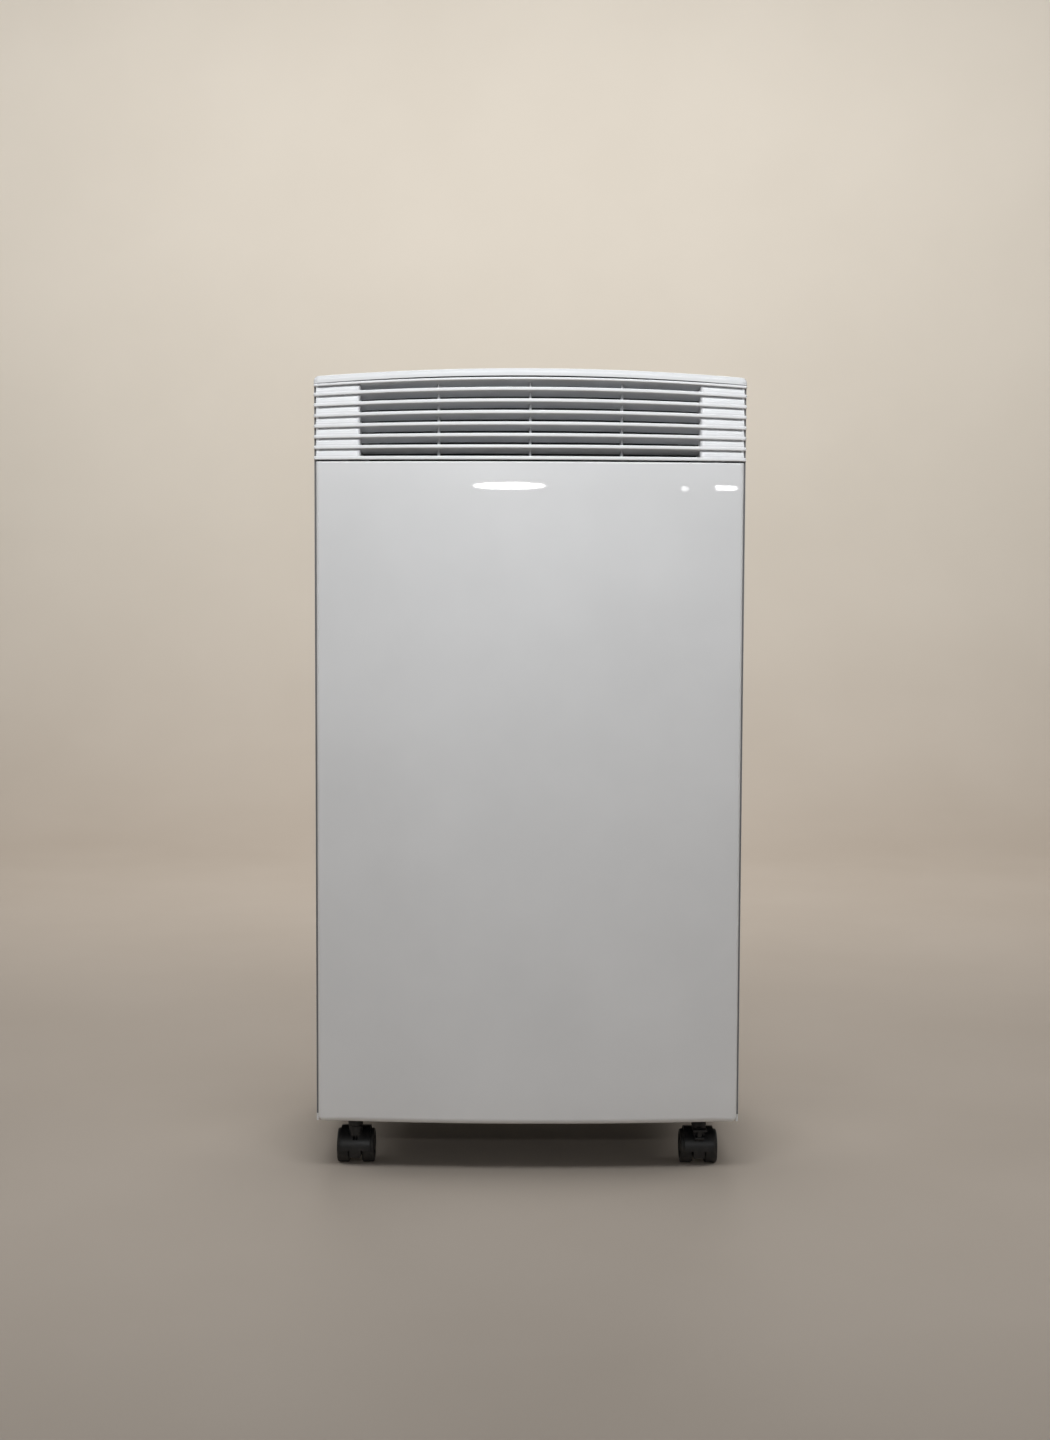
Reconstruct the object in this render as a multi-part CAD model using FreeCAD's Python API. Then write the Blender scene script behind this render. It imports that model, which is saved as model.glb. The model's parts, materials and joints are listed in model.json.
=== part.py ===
import FreeCAD, Part
import math
import os

from FreeCAD import Vector

# Portable air conditioner on four twin-wheel casters.
# Millimetres. X to the right, Y to the back, Z up. The front faces -Y and the
# origin lies on the floor under the middle of the cabinet.

# ---- driving dimensions -----------------------------------------------------
CASE_HALF = 225.0          # half the width over the side panels
CASE_SKIN = 2.5            # thickness of the side and back panels
FRONT_Y = -175.0           # middle of the bowed front
FRONT_BOW = 12.0           # how far the front falls back at its side edges
BACK_Y = 163.0             # outside of the back panel
CASE_BOTTOM = 57.0
CROWN_Z = 850.0            # top of the crowned cover, on the centre line
CROWN_DROP = 7.8           # how far the crown falls at the side edges

PANEL_HALF = 222.6
PANEL_TOP = 754.3
PANEL_SKIN = 3.0
PANEL_EDGE_R = 3.0
PANEL_FOOT_R = 6.0
PANEL_BACK_Y = -158.0

COVER_BAND = 7.8           # height of the cover's front band
COVER_SKIN = 3.0
COVER_EDGE_R = 5.5
COVER_CORNER_R = 6.0
SEAM = 0.6

GRILLE_BACK_Y = -130.0
SLAT_COUNT = 8
SLAT_FIRST_Z = 758.0
SLAT_PITCH = 11.8
SLAT_RIM_Z = 839.3         # the last lip is thinner and closes the grille under the cover
SLAT_FIRST_DROP = 0.2
SLAT_LAST_DROP = 6.7
LIP_HEIGHT = 3.7
RIM_LIP_HEIGHT = 2.8
LIP_DEPTH = 3.0
BLADE_THICK = 1.4
BLADE_SLOPE = 0.30
BLADE_DEPTH = 17.5
OPENING_HALF = 176.0
BLOCK_END = 222.3
BLOCK_CORNER_R = 3.5
BLOCK_STEP = 1.95
BLOCK_STEP_BACK = 0.5
GROOVE_HEIGHT = 2.0
GROOVE_DEPTH = 6.0
RIB_XS = (-95.0, 0.0, 95.0)
RIB_WIDTH = 2.6
RIB_DEPTH = (8.0, 21.0)       # where the ribs start and end behind the grille's face

SIDE_FRONT_Y = -157.0
SIDE_CORNER_R = 8.0
SIDE_RETURN_X = 205.0
HANDLE_HALF_Y = 55.0
HANDLE_Z = (700.0, 735.0)
HANDLE_DEPTH = 28.0
HANDLE_WALL = 2.0
HANDLE_RIM = 20.0          # flush rim round the mouth of the handle cup
HANDLE_LAP = 5.0           # how far its flange laps behind the side panel
HANDLE_GAP = 0.4
HANDLE_MOUTH_R = 1.5

BASE_FLOOR = 3.0
BASE_WALL_TOP = 100.0
BASE_HALF = 221.8
BASE_Y = (-157.5, 160.2)

INTAKE_HALF = 150.0
INTAKE_SLOT = 5.0
INTAKE_PITCH = 9.0
UPPER_INTAKE_Z = (532.0, 760.0)
LOWER_INTAKE_Z = (120.0, 335.0)

FILTER_X = (-150.0, 225.0)
FILTER_Y = (141.0, 147.0)
FILTER_Z = (520.0, 770.0)
FILTER_BORDER = 9.0

COLLAR_Z = 430.0
COLLAR_R = 70.0
COLLAR_WALL = 3.0
COLLAR_END_Y = 175.0

DRAIN_X = -120.0
DRAIN_Z = 82.0
DRAIN_R = 7.0
SPOUT_Y = 151.0
GLAND_X = 178.0
GLAND_Z = 116.0
SCREW_XS = (-196.0, 196.0)
SCREW_ZS = (78.0, 330.0, 560.0, 800.0)
SCREW_R = 2.0

FASCIA_HALF_X = 100.0
FASCIA_Y = (-125.0, -45.0)
FASCIA_SINK = 1.5
FASCIA_THICK = 3.0
BUTTON_ROW_Y = -64.0
BUTTONS = (("power", -80.0, 8.0), ("mode", -52.0, 6.5), ("fan_speed", -26.0, 6.5),
           ("temp_down", 52.0, 6.5), ("temp_up", 80.0, 6.5))
BUTTON_RISE = 1.1
BUTTON_GAP = 0.3
DISPLAY_HALF_X = 26.0
DISPLAY_Y = (-112.0, -86.0)
BOARD_Z = 833.0

CASTER_X = 186.0
CASTER_Y = 125.0
CASTER_TRAIL = 10.0
WHEEL_R = 18.0
WHEEL_X = (6.8, 20.0)
AXLE_R = 2.0
HOOD_R = (19.3, 21.5)
HOOD_HALF = 15.8
HOOD_WEB = 6.0
HOOD_LOW_Z = 17.0
HOOD_TOP_Z = 42.7
STEM_R = 4.0
BOSS_R = 8.0
BOSS_LOW_Z = 44.0
BOSS_TOP_Z = 66.0
RUN_FIT = 0.05
LEVER_PIN = (-22.0, 32.0)    # Y from the axle, and Z
LEVER_PIN_R = 1.2

DECK_Z = (497.0, 500.0)
COND_COIL = (-170.0, 170.0, 118.0, 150.0, 60.0, 340.0)
EVAP_COIL = (-165.0, 165.0, 100.0, 136.0, 503.0, 770.0)
COND_FAN = (-85.0, 205.0)        # X and Z of the condenser fan's axis
COND_SCROLL_R = 95.0
COND_SCROLL_Y = (20.0, 100.0)
COND_WHEEL_R = 76.0
EVAP_FAN = (0.0, 640.0)
EVAP_SCROLL_R = 118.0
EVAP_SCROLL_Y = (-12.0, 88.0)
EVAP_WHEEL_R = 94.0
DUCT_WALL = 2.5
FIN_PITCH = 6.0
FIN_THICK = 1.2
PLENUM_Z = (764.0, 829.0)
PLENUM_Y = (-144.5, 88.0)

COMPRESSOR = (122.0, 56.0)
COMPRESSOR_R = 50.0
COMPRESSOR_Z = (84.0, 268.0)
COMPRESSOR_FOOT_R = 74.0
FOOT_ANGLES = (30, 150, 270)
ACCUMULATOR = (42.0, 56.0)
ACCUMULATOR_R = 18.0

FOOT_Z = 80.0                    # underside of the compressor's feet, on their grommets
FOOT_THICK = 4.5
BOLT_R = 4.5

CONTROL_BOX = (-106.0, 66.0, -142.0, -86.0, 360.0, 478.0)
CONTROL_LID = 4.0                # thickness of the lid and how far it stands out all round
CAPACITOR = (120.0, -110.0, 22.0, 380.0, 78.0)    # X, Y, radius, lowest Z, height
COND_PIPE_Y = 134.0              # pipes join the two coils on the middle line of their fins
EVAP_PIPE_Y = 118.0
SUCTION_X = 200.0
LIQUID_X = -206.0
HOT_X = 194.0

TRAY_HALF = 190.0
TRAY_Y = (-120.0, 139.0)
TRAY_WELL_Y = 92.0               # where the raised rear part of the tray begins
TRAY_WALL = 2.0
TRAY_RIM = 10.0

CHEST = (-82.0, 82.0, 150.0, 348.0, 494.0)    # warm-air chest: X, X, rear Y, Z, Z
SHAFT_HOLE_R = 12.0
MESH_THICK = 0.8

BOW_RADIUS = (PANEL_HALF ** 2 + FRONT_BOW ** 2) / (2 * FRONT_BOW)
X_AXIS = Vector(1, 0, 0)
Y_AXIS = Vector(0, 1, 0)
Z_AXIS = Vector(0, 0, 1)


# ---- small helpers ----------------------------------------------------------
def box(x0, x1, y0, y1, z0, z1):
    return Part.makeBox(x1 - x0, y1 - y0, z1 - z0, Vector(x0, y0, z0))


def rod(radius, x, y, z, length, axis=Z_AXIS):
    return Part.makeCylinder(radius, length, Vector(x, y, z), axis)


def ring(outer, inner, x, y, z, length, axis=Z_AXIS):
    return rod(outer, x, y, z, length, axis).cut(rod(inner, x, y, z, length, axis))


def fuse(shapes):
    joined = shapes[0].multiFuse(shapes[1:]) if len(shapes) > 1 else shapes[0]
    return joined.removeSplitter()


def line(start, end):
    return Part.LineSegment(start, end).toShape()


def arc(start, middle, end):
    return Part.Arc(start, middle, end).toShape()


def face(edges):
    return Part.Face(Part.Wire(edges))


def edges_where(shape, test):
    return [edge for edge in shape.Edges if test(edge.BoundBox)]


def mirror_x(shape):
    return shape.mirror(Vector(0, 0, 0), X_AXIS)


def save(name, shape):
    if not shape.isValid():
        raise ValueError(name + " is not a valid shape")
    shape.exportStep("parts/" + name + ".step")
    print(name, len(shape.Solids), "solid(s)", round(shape.Volume / 1000, 1), "cm3")


def tube(points, radius, bend):
    """A round tube along straight runs joined by tangent arcs."""
    path = []
    start = points[0]
    for corner, after in zip(points[1:-1], points[2:]):
        back = (start - corner).normalize()
        ahead = (after - corner).normalize()
        half_turn = (math.pi - back.getAngle(ahead)) / 2
        reach = bend * math.tan(half_turn)
        arc_start = corner + back * reach
        arc_end = corner + ahead * reach
        inward = (back + ahead).normalize()
        middle = corner + inward * (bend / math.cos(half_turn) - bend)
        path.append(line(start, arc_start))
        path.append(arc(arc_start, middle, arc_end))
        start = arc_end
    path.append(line(start, points[-1]))
    profile = Part.Wire(Part.makeCircle(radius, points[0], points[1] - points[0]))
    return Part.Wire(path).makePipeShell([profile], True, False)


# ---- the two big curves: bowed front and crowned top --------------------------
def bow_y(x, inset=0.0):
    return FRONT_Y + inset + BOW_RADIUS - math.sqrt(BOW_RADIUS ** 2 - x ** 2)


def bow_prism(half, inset, back_y, z0, z1, corner_r=0.0):
    """Upright block with the bowed front, straight sides and a flat back."""
    left_y = bow_y(half, inset)
    outline = face([
        arc(Vector(-half, left_y, z0), Vector(0, bow_y(0, inset), z0), Vector(half, left_y, z0)),
        line(Vector(half, left_y, z0), Vector(half, back_y, z0)),
        line(Vector(half, back_y, z0), Vector(-half, back_y, z0)),
        line(Vector(-half, back_y, z0), Vector(-half, left_y, z0))])
    block = outline.extrude(Vector(0, 0, z1 - z0))
    if corner_r > 0:
        corners = edges_where(block, lambda b: b.ZLength > z1 - z0 - 1 and b.YMax < left_y + 1)
        block = block.makeFillet(corner_r, corners)
    return block


def bow_slab(half, inset, thick, z0, z1):
    """Sheet of even thickness that follows the bowed front."""
    return bow_prism(half, inset, 0.0, z0, z1).cut(bow_prism(half + 1, inset + thick, 1.0, z0 - 1, z1 + 1))


def arch_z(x, curve):
    crown, drop = curve
    return crown - drop * (x / CASE_HALF) ** 2


def arch_edge(curve, x0, x1, y):
    middle = (x0 + x1) / 2
    start, between, end = [Vector(x, y, arch_z(x, curve)) for x in (x0, middle, x1)]
    return arc(start, between, end) if abs(curve[1]) > 1e-6 else line(start, end)


def arch_band(low, high, x0, x1, y0, sweep):
    """Strip between two crowned curves, given as (crown, drop), swept along a vector."""
    outline = face([
        arch_edge(low, x0, x1, y0),
        line(Vector(x1, y0, arch_z(x1, low)), Vector(x1, y0, arch_z(x1, high))),
        arch_edge(high, x0, x1, y0),
        line(Vector(x0, y0, arch_z(x0, high)), Vector(x0, y0, arch_z(x0, low)))])
    return outline.extrude(sweep)


def under_crown(gap):
    """Everything inside the case that lies lower than the crown by a gap."""
    top = (CROWN_Z - gap, CROWN_DROP)
    return arch_band((0.0, 0.0), top, -CASE_HALF - 1, CASE_HALF + 1, FRONT_Y - 5, Vector(0, 350, 0))


# ---- cabinet shells -----------------------------------------------------------
def base_pan():
    y0, y1 = BASE_Y
    floor_z = CASE_BOTTOM + BASE_FLOOR
    pan = box(-BASE_HALF, BASE_HALF, y0, y1, CASE_BOTTOM, BASE_WALL_TOP)
    corners = edges_where(pan, lambda b: b.ZLength > 1)
    pan = pan.makeFillet(6.0, corners)
    pan = pan.cut(box(-BASE_HALF + 3, BASE_HALF - 3, y0 + 3, y1 - 3, floor_z, BASE_WALL_TOP))
    for x in (-CASTER_X, CASTER_X):
        for y in (-CASTER_Y, CASTER_Y):
            pan = pan.fuse(rod(BOSS_R, x, y, BOSS_LOW_Z, BOSS_TOP_Z - BOSS_LOW_Z))
            pan = pan.cut(rod(STEM_R, x, y, BOSS_LOW_Z, BOSS_TOP_Z - BOSS_LOW_Z - 1))
    spout = rod(DRAIN_R + 3, DRAIN_X, SPOUT_Y, DRAIN_Z, y1 - SPOUT_Y, Y_AXIS)
    pan = pan.fuse(spout)
    pan = pan.cut(rod(DRAIN_R, DRAIN_X, SPOUT_Y - 1, DRAIN_Z, 20.0, Y_AXIS))
    for x in SCREW_XS:
        pan = pan.cut(rod(SCREW_R, x, y1 - 10, SCREW_ZS[0], 15.0, Y_AXIS))
    return pan.removeSplitter()


def front_panel():
    block = bow_prism(PANEL_HALF, 0.0, PANEL_BACK_Y, CASE_BOTTOM, PANEL_TOP)
    lower_corners = edges_where(
        block, lambda b: b.YLength > 1 and b.XLength < 1 and b.ZMax < CASE_BOTTOM + 1)
    block = block.makeFillet(5.0, lower_corners)
    front = edges_where(block, lambda b: b.YMax < PANEL_BACK_Y - 1 and b.ZMax < PANEL_TOP - 1)
    front += edges_where(block, lambda b: b.ZLength > 600 and b.YMax < PANEL_BACK_Y - 1)
    block = block.makeFillet(PANEL_EDGE_R, front)
    inner = bow_prism(PANEL_HALF - PANEL_SKIN, PANEL_SKIN, 0.0, CASE_BOTTOM + PANEL_FOOT_R,
                      PANEL_TOP - PANEL_SKIN)
    return block.cut(inner)


def side_section(z):
    """Outline of the right side panel: rounded front lip and a rear return."""
    outer = CASE_HALF
    inner = outer - CASE_SKIN
    lip = 2.0
    big = SIDE_CORNER_R
    small = big - CASE_SKIN
    diagonal = math.sqrt(0.5)
    corner = Vector(outer - big, BACK_Y - big, z)
    points = {
        "lip_in": Vector(inner, SIDE_FRONT_Y, z),
        "lip_front": Vector(outer - lip, SIDE_FRONT_Y, z),
        "lip_out": Vector(outer, SIDE_FRONT_Y + lip, z),
        "turn_out": Vector(outer, BACK_Y - big, z),
        "back_out": Vector(outer - big, BACK_Y, z),
        "return_out": Vector(SIDE_RETURN_X, BACK_Y, z),
        "return_in": Vector(SIDE_RETURN_X, BACK_Y - CASE_SKIN, z),
        "back_in": Vector(outer - big, BACK_Y - CASE_SKIN, z),
        "turn_in": Vector(inner, BACK_Y - big, z)}
    lip_mid = Vector(outer - lip + lip * diagonal, SIDE_FRONT_Y + lip - lip * diagonal, z)
    out_mid = corner + Vector(big * diagonal, big * diagonal, 0)
    in_mid = corner + Vector(small * diagonal, small * diagonal, 0)
    p = points
    return face([
        line(p["lip_in"], p["lip_front"]),
        arc(p["lip_front"], lip_mid, p["lip_out"]),
        line(p["lip_out"], p["turn_out"]),
        arc(p["turn_out"], out_mid, p["back_out"]),
        line(p["back_out"], p["return_out"]),
        line(p["return_out"], p["return_in"]),
        line(p["return_in"], p["back_in"]),
        arc(p["back_in"], in_mid, p["turn_in"]),
        line(p["turn_in"], p["lip_in"])])


def handle_plate(x0, x1, rim, corner):
    """Plate round the handle's mouth, with rounded corners."""
    z0, z1 = HANDLE_Z
    plate = box(x0, x1, -HANDLE_HALF_Y - rim, HANDLE_HALF_Y + rim, z0 - rim, z1 + rim)
    return plate.makeFillet(corner, edges_where(plate, lambda b: b.XLength > 1))


def side_panel():
    panel = side_section(CASE_BOTTOM).extrude(Vector(0, 0, CROWN_Z - CASE_BOTTOM))
    panel = panel.fuse(box(188.0, SIDE_RETURN_X + 2.5, BACK_Y - 2 * CASE_SKIN, BACK_Y - CASE_SKIN,
                           BASE_WALL_TOP + 1, CROWN_Z))
    for z in SCREW_ZS[1:]:
        panel = panel.cut(rod(SCREW_R, SCREW_XS[1], 150.0, z, 12.0, Y_AXIS))
    panel = panel.common(under_crown(COVER_BAND + SEAM))
    upper_front = box(CASE_HALF - 10, CASE_HALF + 1, -200, GRILLE_BACK_Y + SEAM, PANEL_TOP + SEAM, 900)
    return panel.cut(upper_front).cut(handle_plate(CASE_HALF - 10, CASE_HALF + 5, HANDLE_RIM, 14.0))


def filter_slot():
    gap = 0.5
    y0, y1 = FILTER_Y
    z0, z1 = FILTER_Z
    return box(CASE_HALF - 10, CASE_HALF + 1, y0 - gap, y1 + gap, z0 - gap, z1 + gap)


def handle_cup():
    """Recessed handle: a cup with a rim flush in the side panel and a flange behind it."""
    inner_face = CASE_HALF - CASE_SKIN
    cup = handle_plate(inner_face - HANDLE_DEPTH, inner_face, HANDLE_WALL, 9.0)
    cup = cup.fuse(handle_plate(inner_face - HANDLE_WALL, inner_face, HANDLE_RIM + HANDLE_LAP, 18.0))
    cup = cup.fuse(handle_plate(inner_face, CASE_HALF, HANDLE_RIM - HANDLE_GAP, 14.0 - HANDLE_GAP))
    cup = cup.cut(handle_plate(inner_face - HANDLE_DEPTH + HANDLE_WALL, CASE_HALF + 1, 0.0, 8.0))
    z0, z1 = HANDLE_Z
    mouth = edges_where(cup, lambda b: b.XMin > CASE_HALF - 0.1 and b.ZMin > z0 - 1 and b.ZMax < z1 + 1
                        and b.YMin > -HANDLE_HALF_Y - 1 and b.YMax < HANDLE_HALF_Y + 1)
    return cup.makeFillet(HANDLE_MOUTH_R, mouth)


def round_slot(x0, x1, z):
    """Through slot in the back panel with round ends."""
    r = INTAKE_SLOT / 2
    y = BACK_Y - 5
    outline = face([
        line(Vector(x0 + r, y, z - r), Vector(x1 - r, y, z - r)),
        arc(Vector(x1 - r, y, z - r), Vector(x1, y, z), Vector(x1 - r, y, z + r)),
        line(Vector(x1 - r, y, z + r), Vector(x0 + r, y, z + r)),
        arc(Vector(x0 + r, y, z + r), Vector(x0, y, z), Vector(x0 + r, y, z - r))])
    return outline.extrude(Vector(0, 10, 0))


def intake_slots(z0, z1):
    columns = 3
    bridge = 8.0
    width = (2 * INTAKE_HALF - (columns - 1) * bridge) / columns
    rows = int((z1 - z0) / INTAKE_PITCH) + 1
    slots = []
    for column in range(columns):
        left = -INTAKE_HALF + column * (width + bridge)
        for row in range(rows):
            slots.append(round_slot(left, left + width, z0 + row * INTAKE_PITCH))
    return slots


def back_panel():
    half = SIDE_RETURN_X - 0.3
    inner_y = BACK_Y - CASE_SKIN
    panel = box(-half, half, inner_y, BACK_Y, CASE_BOTTOM + 1, CROWN_Z)
    panel = panel.common(under_crown(COVER_BAND + SEAM))
    holes = intake_slots(*UPPER_INTAKE_Z) + intake_slots(*LOWER_INTAKE_Z)
    holes.append(rod(COLLAR_R + COLLAR_WALL, 0, inner_y - 1, COLLAR_Z, 5, Y_AXIS))
    holes.append(rod(DRAIN_R + 4, DRAIN_X, inner_y - 1, DRAIN_Z, 5, Y_AXIS))
    holes.append(rod(9.0, GLAND_X, inner_y - 1, GLAND_Z, 5, Y_AXIS))
    for x in SCREW_XS:
        for z in SCREW_ZS:
            holes.append(rod(2.2, x, inner_y - 1, z, 5, Y_AXIS))
    return panel.cut(Part.makeCompound(holes))


def top_cover():
    bottom = (CROWN_Z - COVER_BAND, CROWN_DROP)
    top = (CROWN_Z, CROWN_DROP)
    slab = arch_band(bottom, top, -CASE_HALF - 5, CASE_HALF + 5, FRONT_Y - 5, Vector(0, 350, 0))
    plan = bow_prism(CASE_HALF, 0.0, BACK_Y, 800, 900, COVER_CORNER_R)
    plan = plan.makeFillet(SIDE_CORNER_R, edges_where(plan, lambda b: b.ZLength > 90 and b.YMin > 150))
    cover = slab.common(plan)
    # one round runs all the way along the upper rim
    crown = max(cover.Faces, key=lambda side: side.CenterOfMass.z)
    cover = cover.makeFillet(COVER_EDGE_R, crown.Edges)
    hollow = arch_band((700.0, 0.0), (CROWN_Z - COVER_SKIN, CROWN_DROP), -CASE_HALF - 5, CASE_HALF + 5,
                       FRONT_Y - 5, Vector(0, 350, 0))
    inset = 4.5
    hollow = hollow.common(bow_prism(CASE_HALF - inset, inset, BACK_Y - inset, 690, 900))
    cover = cover.cut(hollow)
    window = box(-FASCIA_HALF_X, FASCIA_HALF_X, FASCIA_Y[0], FASCIA_Y[1], 800, 900)
    window = window.makeFillet(6.0, edges_where(window, lambda b: b.ZLength > 90))
    return cover.cut(window)


# ---- discharge grille -----------------------------------------------------------
def slat_curve(index, offset=0.0):
    drop = SLAT_FIRST_DROP + (SLAT_LAST_DROP - SLAT_FIRST_DROP) * index / (SLAT_COUNT - 1)
    crown = SLAT_RIM_Z if index == SLAT_COUNT - 1 else SLAT_FIRST_Z + SLAT_PITCH * index
    return (crown + offset, drop)


def lip_half(index):
    return (RIM_LIP_HEIGHT if index == SLAT_COUNT - 1 else LIP_HEIGHT) / 2


def slat_lip(index, shell):
    low = slat_curve(index, -lip_half(index))
    high = slat_curve(index, lip_half(index))
    band = arch_band(low, high, -CASE_HALF - 1, CASE_HALF + 1, FRONT_Y - 5, Vector(0, 60, 0))
    return band.common(shell)


def slat_blade(index):
    """Blade that falls toward the back and stays level with its bowed lip."""
    crown, drop = slat_curve(index, -0.6)
    bow_depth = bow_y(CASE_HALF) - FRONT_Y
    drop -= BLADE_SLOPE * bow_depth
    half = OPENING_HALF + 2
    band = arch_band((crown - BLADE_THICK / 2, drop), (crown + BLADE_THICK / 2, drop),
                     -half, half, FRONT_Y, Vector(0, 45, -45 * BLADE_SLOPE))
    return band.common(bow_slab(half, LIP_DEPTH - 1.0, BLADE_DEPTH, 700, 900))


def end_block(index):
    """Stepped filler beside the right-hand end of one opening."""
    low = slat_curve(index, 0.4)
    high = slat_curve(index + 1, -lip_half(index + 1) - GROOVE_HEIGHT)
    y0 = FRONT_Y - 5
    block = arch_band(low, high, OPENING_HALF, BLOCK_END, y0, Vector(0, 40, 0))
    end_top = arch_z(BLOCK_END, high)
    corner = edges_where(block, lambda b: b.XMin > BLOCK_END - 0.1 and b.ZMin > end_top - 0.1)
    block = block.makeFillet(BLOCK_CORNER_R, corner)
    steps = []
    for step in range(3):
        rise = LIP_HEIGHT / 2 + BLOCK_STEP * (step + 1) if step < 2 else SLAT_PITCH
        limit = arch_band((700.0, 0.0), slat_curve(index, rise), 150, 230, y0, Vector(0, 60, 0))
        inset = BLOCK_STEP_BACK * (step + 1)
        slab = bow_slab(CASE_HALF, inset, GROOVE_DEPTH + 1 - inset, 740, 850)
        steps.append(block.common(slab).common(limit))
    return fuse(steps)


def grille_rib(x):
    front, back = RIB_DEPTH
    face_y = bow_y(abs(x) - RIB_WIDTH / 2)
    return box(x - RIB_WIDTH / 2, x + RIB_WIDTH / 2, face_y + front, face_y + back, 740, 860)


def discharge_grille():
    top = slat_curve(SLAT_COUNT - 1)
    envelope = bow_prism(CASE_HALF, 0.0, GRILLE_BACK_Y, 740, 860, PANEL_EDGE_R)
    core = bow_prism(CASE_HALF - LIP_DEPTH, LIP_DEPTH, 0.0, 730, 870)
    shell = envelope.cut(core)
    beyond = CASE_HALF + 1
    inside = arch_band(slat_curve(0, -0.8), top, -beyond, beyond, FRONT_Y - 5, Vector(0, 60, 0))
    pieces = [slat_lip(i, shell) for i in range(SLAT_COUNT)]
    pieces += [slat_blade(i) for i in range(1, SLAT_COUNT)]
    blocks = [end_block(i) for i in range(SLAT_COUNT - 1)]
    pieces += blocks + [mirror_x(block) for block in blocks]
    backing = bow_slab(CASE_HALF - LIP_DEPTH, GROOVE_DEPTH, 3.0, 740, 860)
    backing = backing.cut(box(-OPENING_HALF, OPENING_HALF, -200, 0, 730, 870))
    cheek_x = CASE_HALF - LIP_DEPTH
    cheek = box(cheek_x - 2.5, cheek_x + 0.2, bow_y(cheek_x, LIP_DEPTH), GRILLE_BACK_Y, 740, 860)
    wall = bow_slab(OPENING_HALF + 2.5, GROOVE_DEPTH, BLADE_DEPTH - 1.5, 740, 860)
    wall = wall.cut(box(-OPENING_HALF, OPENING_HALF, -200, 0, 730, 870))
    ribs = [grille_rib(x) for x in RIB_XS]
    for piece in [backing, cheek, mirror_x(cheek), wall] + ribs:
        pieces.append(piece.common(inside))
    return fuse(pieces)


# ---- controls in the top cover ---------------------------------------------------
def sunk_plate(x0, x1, y0, y1, depth, thick, corner_r):
    """Plate that follows the crown at a depth below it."""
    band = arch_band((CROWN_Z - depth - thick, CROWN_DROP), (CROWN_Z - depth, CROWN_DROP),
                     x0, x1, y0, Vector(0, y1 - y0, 0))
    corners = edges_where(band, lambda b: b.ZLength > thick - 0.5 and b.XLength < 0.1 and b.YLength < 0.1)
    return band.makeFillet(corner_r, corners)


def button_holes(extra):
    return [rod(radius + extra, x, BUTTON_ROW_Y, 800, 100) for _, x, radius in BUTTONS]


def control_fascia():
    gap = 0.3
    flange = 6.0
    y0, y1 = FASCIA_Y
    raised = sunk_plate(-FASCIA_HALF_X + gap, FASCIA_HALF_X - gap, y0 + gap, y1 - gap,
                        FASCIA_SINK, FASCIA_THICK - 0.4, 5.7)
    border = sunk_plate(-FASCIA_HALF_X - flange, FASCIA_HALF_X + flange, y0 - flange, y1 + flange,
                        COVER_SKIN + 0.05, 1.45, 8.0)
    plate = fuse([raised, border])
    holes = button_holes(BUTTON_GAP)
    holes.append(box(-DISPLAY_HALF_X, DISPLAY_HALF_X, DISPLAY_Y[0], DISPLAY_Y[1], 800, 900))
    return plate.cut(Part.makeCompound(holes))


def display_lens():
    gap = 0.1
    return sunk_plate(-DISPLAY_HALF_X + gap, DISPLAY_HALF_X - gap, DISPLAY_Y[0] + gap, DISPLAY_Y[1] - gap,
                      FASCIA_SINK - 0.2, 2.2, 0.6)


def display_board():
    board = box(-95.0, 95.0, -118.0, -52.0, BOARD_Z, BOARD_Z + 1.6)
    module = box(-DISPLAY_HALF_X + 3, DISPLAY_HALF_X - 3, DISPLAY_Y[0] + 2, DISPLAY_Y[1] - 2,
                 BOARD_Z + 1.6, BOARD_Z + 9.0)
    switches = [box(x - 3, x + 3, BUTTON_ROW_Y - 3, BUTTON_ROW_Y + 3, BOARD_Z + 1.6, BOARD_Z + 3.8)
                for _, x, _ in BUTTONS]
    return fuse([board, module] + switches)


def push_button(x, radius):
    """Domed cap with a retaining flange under the fascia and a stem to its switch."""
    face_z = arch_z(x, (CROWN_Z - FASCIA_SINK, CROWN_DROP))
    top_z = face_z + BUTTON_RISE
    under_z = face_z - FASCIA_THICK - 0.7
    switch_z = BOARD_Z + 3.8 + 1.0
    cap = rod(radius, x, BUTTON_ROW_Y, under_z, top_z - under_z)
    cap = cap.makeFillet(0.6, edges_where(cap, lambda b: b.ZMin > top_z - 0.1))
    flange = rod(radius + 1.2, x, BUTTON_ROW_Y, under_z - 1.5, 1.5)
    stem = rod(2.0, x, BUTTON_ROW_Y, switch_z, under_z - 1.0 - switch_z)
    return fuse([cap, flange, stem])


# ---- back fittings -----------------------------------------------------------------
def exhaust_collar():
    inner_y = 150.0
    pipe = ring(COLLAR_R + COLLAR_WALL, COLLAR_R, 0, inner_y, COLLAR_Z, COLLAR_END_Y - inner_y, Y_AXIS)
    flange = ring(COLLAR_R + 14, COLLAR_R, 0, BACK_Y, COLLAR_Z, 3.0, Y_AXIS)
    bead = ring(COLLAR_R + COLLAR_WALL + 1.2, COLLAR_R, 0, COLLAR_END_Y - 3, COLLAR_Z, 2.0, Y_AXIS)
    # bayonet lugs that lock the hose cuff
    lugs = []
    for angle in (45, 165, 285):
        lug = box(-8, 8, COLLAR_END_Y - 6, COLLAR_END_Y - 3, COLLAR_R + COLLAR_WALL - 1, COLLAR_R + 6.5)
        lug.rotate(Vector(0, 0, 0), Y_AXIS, angle)
        lug.translate(Vector(0, 0, COLLAR_Z))
        lugs.append(lug)
    return fuse([pipe, flange, bead] + lugs)


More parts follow.
